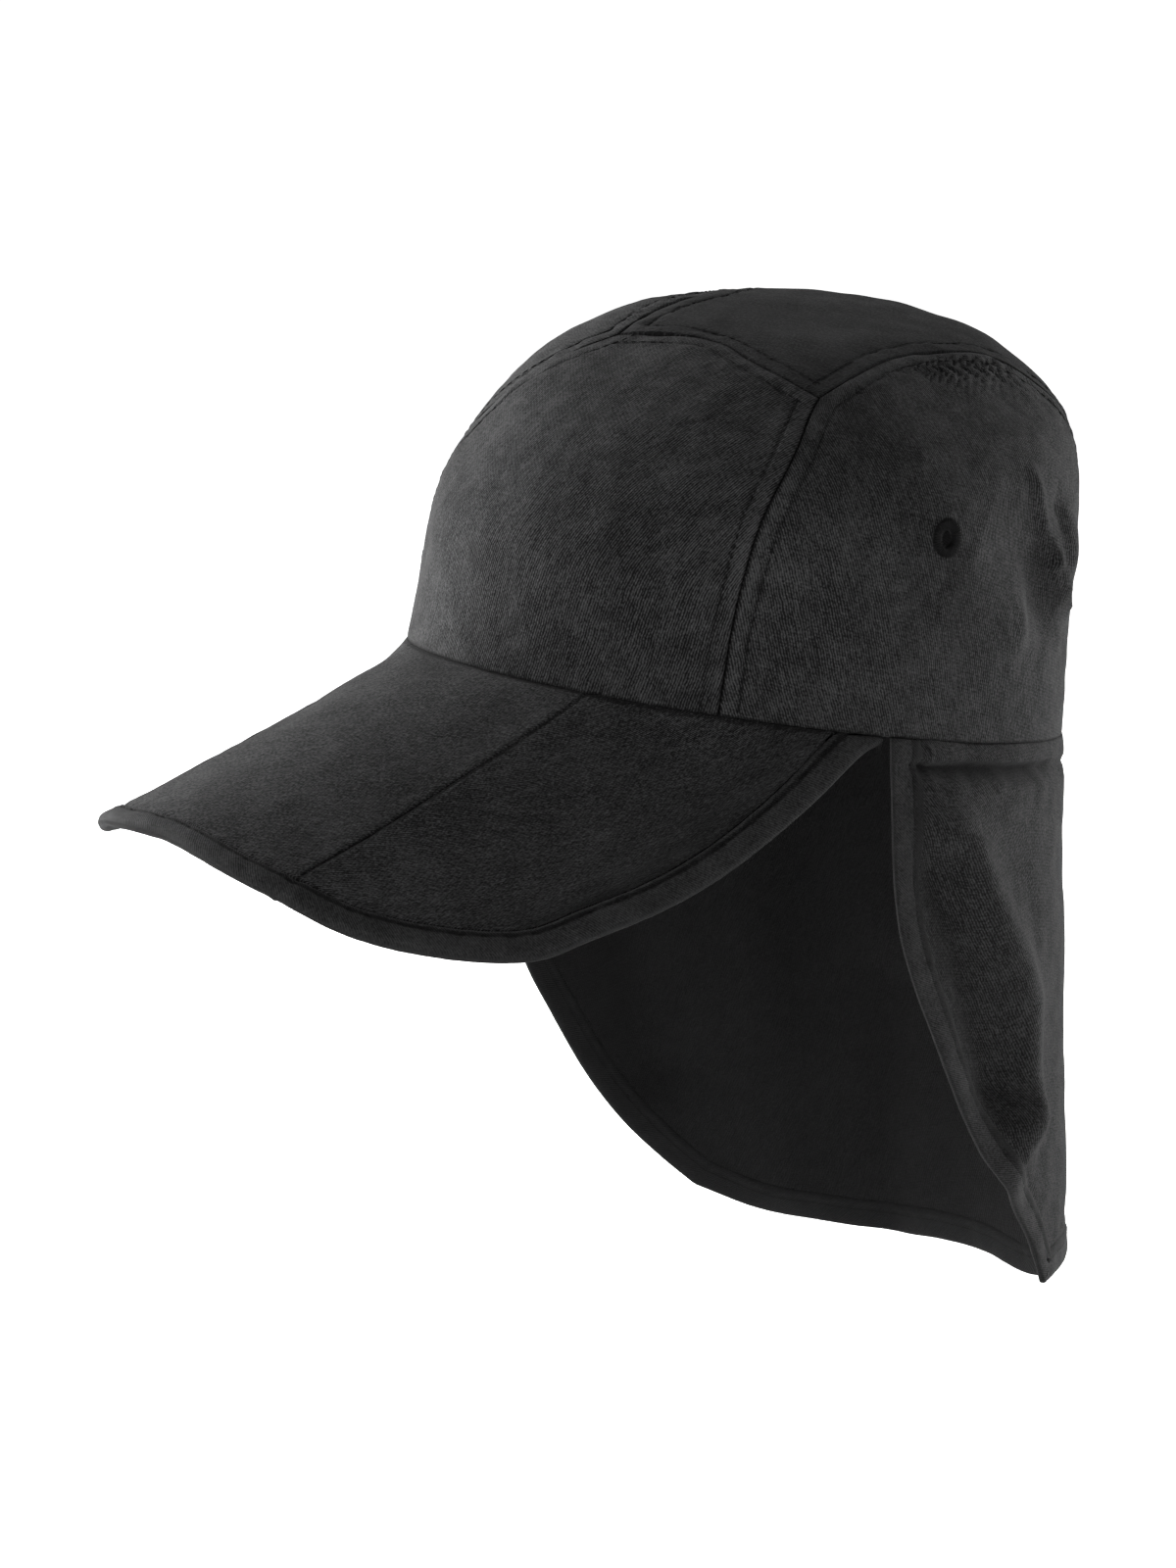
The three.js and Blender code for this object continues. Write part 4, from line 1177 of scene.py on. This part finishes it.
def flap_binding():
    line = np.vstack([flap_left, flap_hem[1:], flap_right[::-1][1:]])
    rings = int(lengths_along(line)[-1] / BAND_STEP)
    outer = even(line, rings)
    inner = inset_line(outer, FLAP_BINDING_WIDTH - 0.2)
    inner[0, 1] = 0
    inner[-1, 1] = 0
    piece = band_piece("flap_binding_tape", "flap_binding", outer, inner, flap_surface,
                       flap_outward, FLAP_BINDING_THICKNESS, flap_rise, groove=0.5,
                       ridge=FLAP_STITCH_SHARE, ridge_painted_shade=0.7, seed=51)
    return piece, outer, inner


flap_piece, flap_base = neck_flap()
flap_tape, flap_outer, flap_inner = flap_binding()
declare_sheet(flap_base)


# Stitches

def tree_socket(tree, name, kind, value=None):
    socket = tree.interface.new_socket(name, in_out="INPUT", socket_type=kind)
    if value is not None:
        socket.default_value = value
    return socket


def stitch_tree():
    """Stitches along the edges of a mesh, each lying on the cloth that its up attribute faces"""
    tree = bpy.data.node_groups.new("stitches", "GeometryNodeTree")
    tree_socket(tree, "Lines", "NodeSocketGeometry")
    tree_socket(tree, "Pitch", "NodeSocketFloat", STITCH_PITCH * MM)
    tree_socket(tree, "Length", "NodeSocketFloat", STITCH_LENGTH * MM)
    tree_socket(tree, "Thickness", "NodeSocketFloat", STITCH_THICKNESS * MM)
    tree_socket(tree, "Turn", "NodeSocketFloat", 0.0)
    tree_socket(tree, "Seed", "NodeSocketInt", 7)
    tree_socket(tree, "Thread", "NodeSocketMaterial")
    tree.interface.new_socket("Stitches", in_out="OUTPUT", socket_type="NodeSocketGeometry")

    def node(kind, settings=None, sockets=()):
        return add_node(tree, kind, settings, sockets)

    given = node("NodeGroupInput").outputs
    curve = node("GeometryNodeMeshToCurve", None, {"Mesh": given["Lines"]}).outputs[0]
    spaced = node("GeometryNodeResampleCurve", {"mode": "LENGTH"},
                  {"Curve": curve, "Length": given["Pitch"]}).outputs[0]
    ball = node("GeometryNodeMeshUVSphere", None, {"Segments": 6, "Rings": 5, "Radius": 0.5})
    size = node("ShaderNodeCombineXYZ", None,
                {0: given["Length"], 1: given["Thickness"], 2: given["Thickness"]})
    stitch = node("GeometryNodeTransform", None,
                  {"Geometry": ball.outputs[0], "Scale": size.outputs[0]}).outputs[0]
    tangent = node("GeometryNodeInputTangent").outputs[0]
    up = node("GeometryNodeInputNamedAttribute", {"data_type": "FLOAT_VECTOR"},
              {"Name": "up"}).outputs[0]
    upright = node("FunctionNodeAlignRotationToVector", {"axis": "Z"}, {"Vector": up}).outputs[0]
    facing = node("FunctionNodeAlignRotationToVector", {"axis": "X", "pivot_axis": "Z"},
                  {"Rotation": upright, "Vector": tangent}).outputs[0]
    chance = node("FunctionNodeRandomValue", {"data_type": "FLOAT"},
                  {"Min": -0.09, "Max": 0.09, "Seed": given["Seed"]})
    float_out = [s for s in chance.outputs if s.type == "VALUE" and s.enabled][0]
    turn = node("ShaderNodeMath", {"operation": "ADD"}, {0: given["Turn"], 1: float_out})
    angle = node("ShaderNodeCombineXYZ", None, {2: turn.outputs[0]}).outputs[0]
    spin = node("FunctionNodeEulerToRotation", None, {0: angle}).outputs[0]
    rotation = node("FunctionNodeRotateRotation", {"rotation_space": "LOCAL"},
                    {0: facing, 1: spin}).outputs[0]
    placed = node("GeometryNodeInstanceOnPoints", None,
                  {"Points": spaced, "Instance": stitch, "Rotation": rotation}).outputs[0]
    real = node("GeometryNodeRealizeInstances", None, {"Geometry": placed}).outputs[0]
    threaded = node("GeometryNodeSetMaterial", None,
                    {"Geometry": real, "Material": given["Thread"]}).outputs[0]
    node("NodeGroupOutput", None, {0: threaded})
    return tree


stitches = stitch_tree()


def sewn(name, lines, **inputs):
    """Mesh of the stitches along lines of points, each with the cloth's way out"""
    vertices, ups, edges = [], [], []
    for points, outs in lines:
        start = len(vertices)
        vertices.extend((points * MM).tolist())
        ups.extend(outs.tolist())
        edges.extend((start + i, start + i + 1) for i in range(len(points) - 1))
    mesh = bpy.data.meshes.new(name)
    mesh.from_pydata(vertices, edges, [])
    attribute = mesh.attributes.new("up", "FLOAT_VECTOR", "POINT")
    attribute.data.foreach_set("vector", np.array(ups, np.float32).ravel())
    guide = add_object(name + "_guide", mesh)
    modifier = guide.modifiers.new("stitches", "NODES")
    modifier.node_group = stitches
    values = {"Thread": black_thread, **inputs}
    for item in stitches.interface.items_tree:
        if item.in_out == "INPUT" and item.name in values:
            modifier[item.identifier] = values[item.name]
    evaluated = guide.evaluated_get(bpy.context.evaluated_depsgraph_get())
    made = bpy.data.meshes.new_from_object(evaluated)
    made.polygons.foreach_set("use_smooth", np.ones(len(made.polygons), bool))
    bpy.data.objects.remove(guide)
    place_piece(add_object(name, made))


def crown_row(spots, distance, keep_off=()):
    """Stitch line at a distance beside a seam of the crown"""
    spots = even(spots, 400)
    moved = beside(crown_surface, spots, distance, DISC_STEP)
    moved = moved[np.linalg.norm(moved, axis=1) < 0.985]
    points = crown_surface(moved)
    normals = crown_outward(moved)
    if keep_off:
        clear = along_seams(points, keep_off) > STITCH_LINE - 0.4
        points, normals = points[clear], normals[clear]
    return points - normals * STITCH_SINK, normals


def crown_rows():
    rows = []
    for hand in ("left", "right"):
        side = np.vstack([seams["front_" + hand], seams["top_" + hand][1:]])
        rows.append(crown_row(side, STITCH_LINE))
        rows.append(crown_row(side, -STITCH_LINE))
    ends = ("front_left", "front_right", "top_left", "top_right")
    rows.append(crown_row(seams["front_top"], STITCH_LINE, ends))
    rows.append(crown_row(seams["front_top"], -STITCH_LINE, ends))
    return rows


def band_rows(outer, inner, share, surface, outward, rise, thickness, sink):
    """Stitch lines along both faces of a folded tape"""
    spots = inner + (outer - inner) * share
    points = surface(spots)
    normals = outward(spots)
    return [(points + normals * (rise - sink), normals),
            (points + normals * (rise - thickness + sink), -normals)]


def eyelet_piece(name, node, centre, out):
    """Worked eyelet: a round padded ring under close stitches that run from its hole outwards"""
    aside = unit(np.cross(out, [0.0, 0.0, 1.0]))
    upright = np.cross(out, aside)
    rings = EYELET_RINGS
    corners = EYELET_CORNERS
    mid = (EYELET_HOLE + EYELET_DIAMETER) / 4
    wide = (EYELET_DIAMETER - EYELET_HOLE) / 4 - 0.2
    vertices = []
    for ring in range(rings):
        turn = 2 * math.pi * ring / rings
        spoke = math.cos(turn) * aside + math.sin(turn) * upright
        for corner in range(corners):
            bend = 2 * math.pi * corner / corners
            place = centre + spoke * (mid + wide * math.cos(bend))
            vertices.append(place + out * (EYELET_PAD * math.sin(bend) - CROWN_WALL / 2))
    faces = []
    for ring in range(rings):
        for corner in range(corners):
            after = (corner + 1) % corners
            other = (ring + 1) % rings
            faces.append([ring * corners + corner, ring * corners + after,
                          other * corners + after, other * corners + corner])
    count = len(vertices)
    piece = make_piece(name, np.array(vertices), faces, np.zeros((count, 2)), np.full(count, 9.0),
                       np.zeros(count), black_thread)
    place_piece(piece, node)
    turns = np.linspace(0, 2 * math.pi, 73)[:, None]
    circle = centre + mid * (np.cos(turns) * aside + np.sin(turns) * upright)
    ring_line = (circle + out * 0.15, np.tile(out, (len(circle), 1)))
    sewn(name + "_stitches", [ring_line], Pitch=EYELET_STITCH_PITCH * MM,
         Length=(2 * wide + 0.5) * MM, Thickness=EYELET_STITCH_THICKNESS * MM, Turn=math.pi / 2)


sewn("crown_stitches", crown_rows())
sewn("peak_stitches", band_rows(peak_outer, peak_inner, PEAK_STITCH_SHARE, peak_binding_surface,
                                peak_outward, peak_rise, PEAK_BINDING_THICKNESS,
                                PEAK_STITCH_SINK))
sewn("flap_stitches", band_rows(flap_outer, flap_inner, FLAP_STITCH_SHARE, flap_surface,
                                flap_outward, flap_rise, FLAP_BINDING_THICKNESS,
                                FLAP_STITCH_SINK))
eyelet_piece("left_eyelet_thread", "left_eyelet", left_eye, left_out)
eyelet_piece("right_eyelet_thread", "right_eyelet", right_eye, right_out)


# Studio

CAMERA_RIGHT = Vector((0.6691, 0.7431, 0))
CAMERA_UP = Vector((-0.2048, 0.1844, 0.9612))
CAMERA_BACK = Vector((0.7144, -0.6432, 0.2756))
CAMERA_DISTANCE = 1.25
CAMERA_LENS = 101.8
FLOOR_HEIGHT = -0.32
FLOOR_HALF = 12.0
WORLD_STRENGTH = 0.12
aim = -0.0426 * CAMERA_RIGHT - 0.0284 * CAMERA_UP


def make_camera():
    data = bpy.data.cameras.new("camera")
    data.sensor_fit = "VERTICAL"
    data.sensor_height = 36
    data.lens = CAMERA_LENS
    camera = add_object("camera", data)
    turn = Matrix((CAMERA_RIGHT, CAMERA_UP, CAMERA_BACK)).transposed().to_4x4()
    camera.matrix_world = Matrix.Translation(aim + CAMERA_DISTANCE * CAMERA_BACK) @ turn
    bpy.context.scene.camera = camera


def make_light(name, place, size, power):
    data = bpy.data.lights.new(name, "AREA")
    data.shape = "RECTANGLE"
    data.size, data.size_y = size
    data.energy = power
    light = add_object(name, data)
    light.location = place
    light.rotation_euler = (-Vector(place)).to_track_quat("-Z", "Y").to_euler()


def make_floor():
    paint = Paint("pale_floor")
    place = paint.node("ShaderNodeTexCoord").outputs["Object"]
    color = paint.blend(paint.noise(place, 3.0), (0.86, 0.86, 0.86), (0.9, 0.9, 0.9))
    radius = paint.node("ShaderNodeVectorMath", {"operation": "LENGTH"}, [place])
    far = paint.band(Number(paint, radius.outputs[1]), 0.2, 1.1)
    # The floor glows as painted light, dimmer near the cap than far off
    glow = paint.blend(far, (0.45, 0.45, 0.45), (1.0, 1.0, 1.0))
    sockets = {"Base Color": color, "Roughness": 0.9, "Emission Strength": 1.0,
               "Emission Color": glow}
    mesh = bpy.data.meshes.new("floor")
    corners = [(-FLOOR_HALF, -FLOOR_HALF), (FLOOR_HALF, -FLOOR_HALF), (FLOOR_HALF, FLOOR_HALF),
               (-FLOOR_HALF, FLOOR_HALF)]
    mesh.from_pydata([(x, y, FLOOR_HEIGHT) for x, y in corners], [], [(0, 1, 2, 3)])
    mesh.materials.append(paint.show(sockets))
    add_object("floor", mesh)


def make_world():
    world = bpy.data.worlds.new("studio")
    world.use_nodes = True
    background = world.node_tree.nodes["Background"]
    background.inputs["Color"].default_value = (1, 1, 1, 1)
    background.inputs["Strength"].default_value = WORLD_STRENGTH
    bpy.context.scene.world = world
    bpy.context.scene.view_settings.view_transform = "Standard"


def from_camera(right, up, back):
    return right * CAMERA_RIGHT + up * CAMERA_UP + back * CAMERA_BACK


make_camera()
make_world()
make_floor()
make_light("left_softbox", from_camera(-1.0, 0.3, -0.47), (0.8, 1.2), 58)
make_light("right_softbox", from_camera(0.95, 0.22, -0.6), (0.7, 1.0), 20)
make_light("front_softbox", from_camera(-0.65, 0.2, 1.0), (0.8, 0.8), 9)
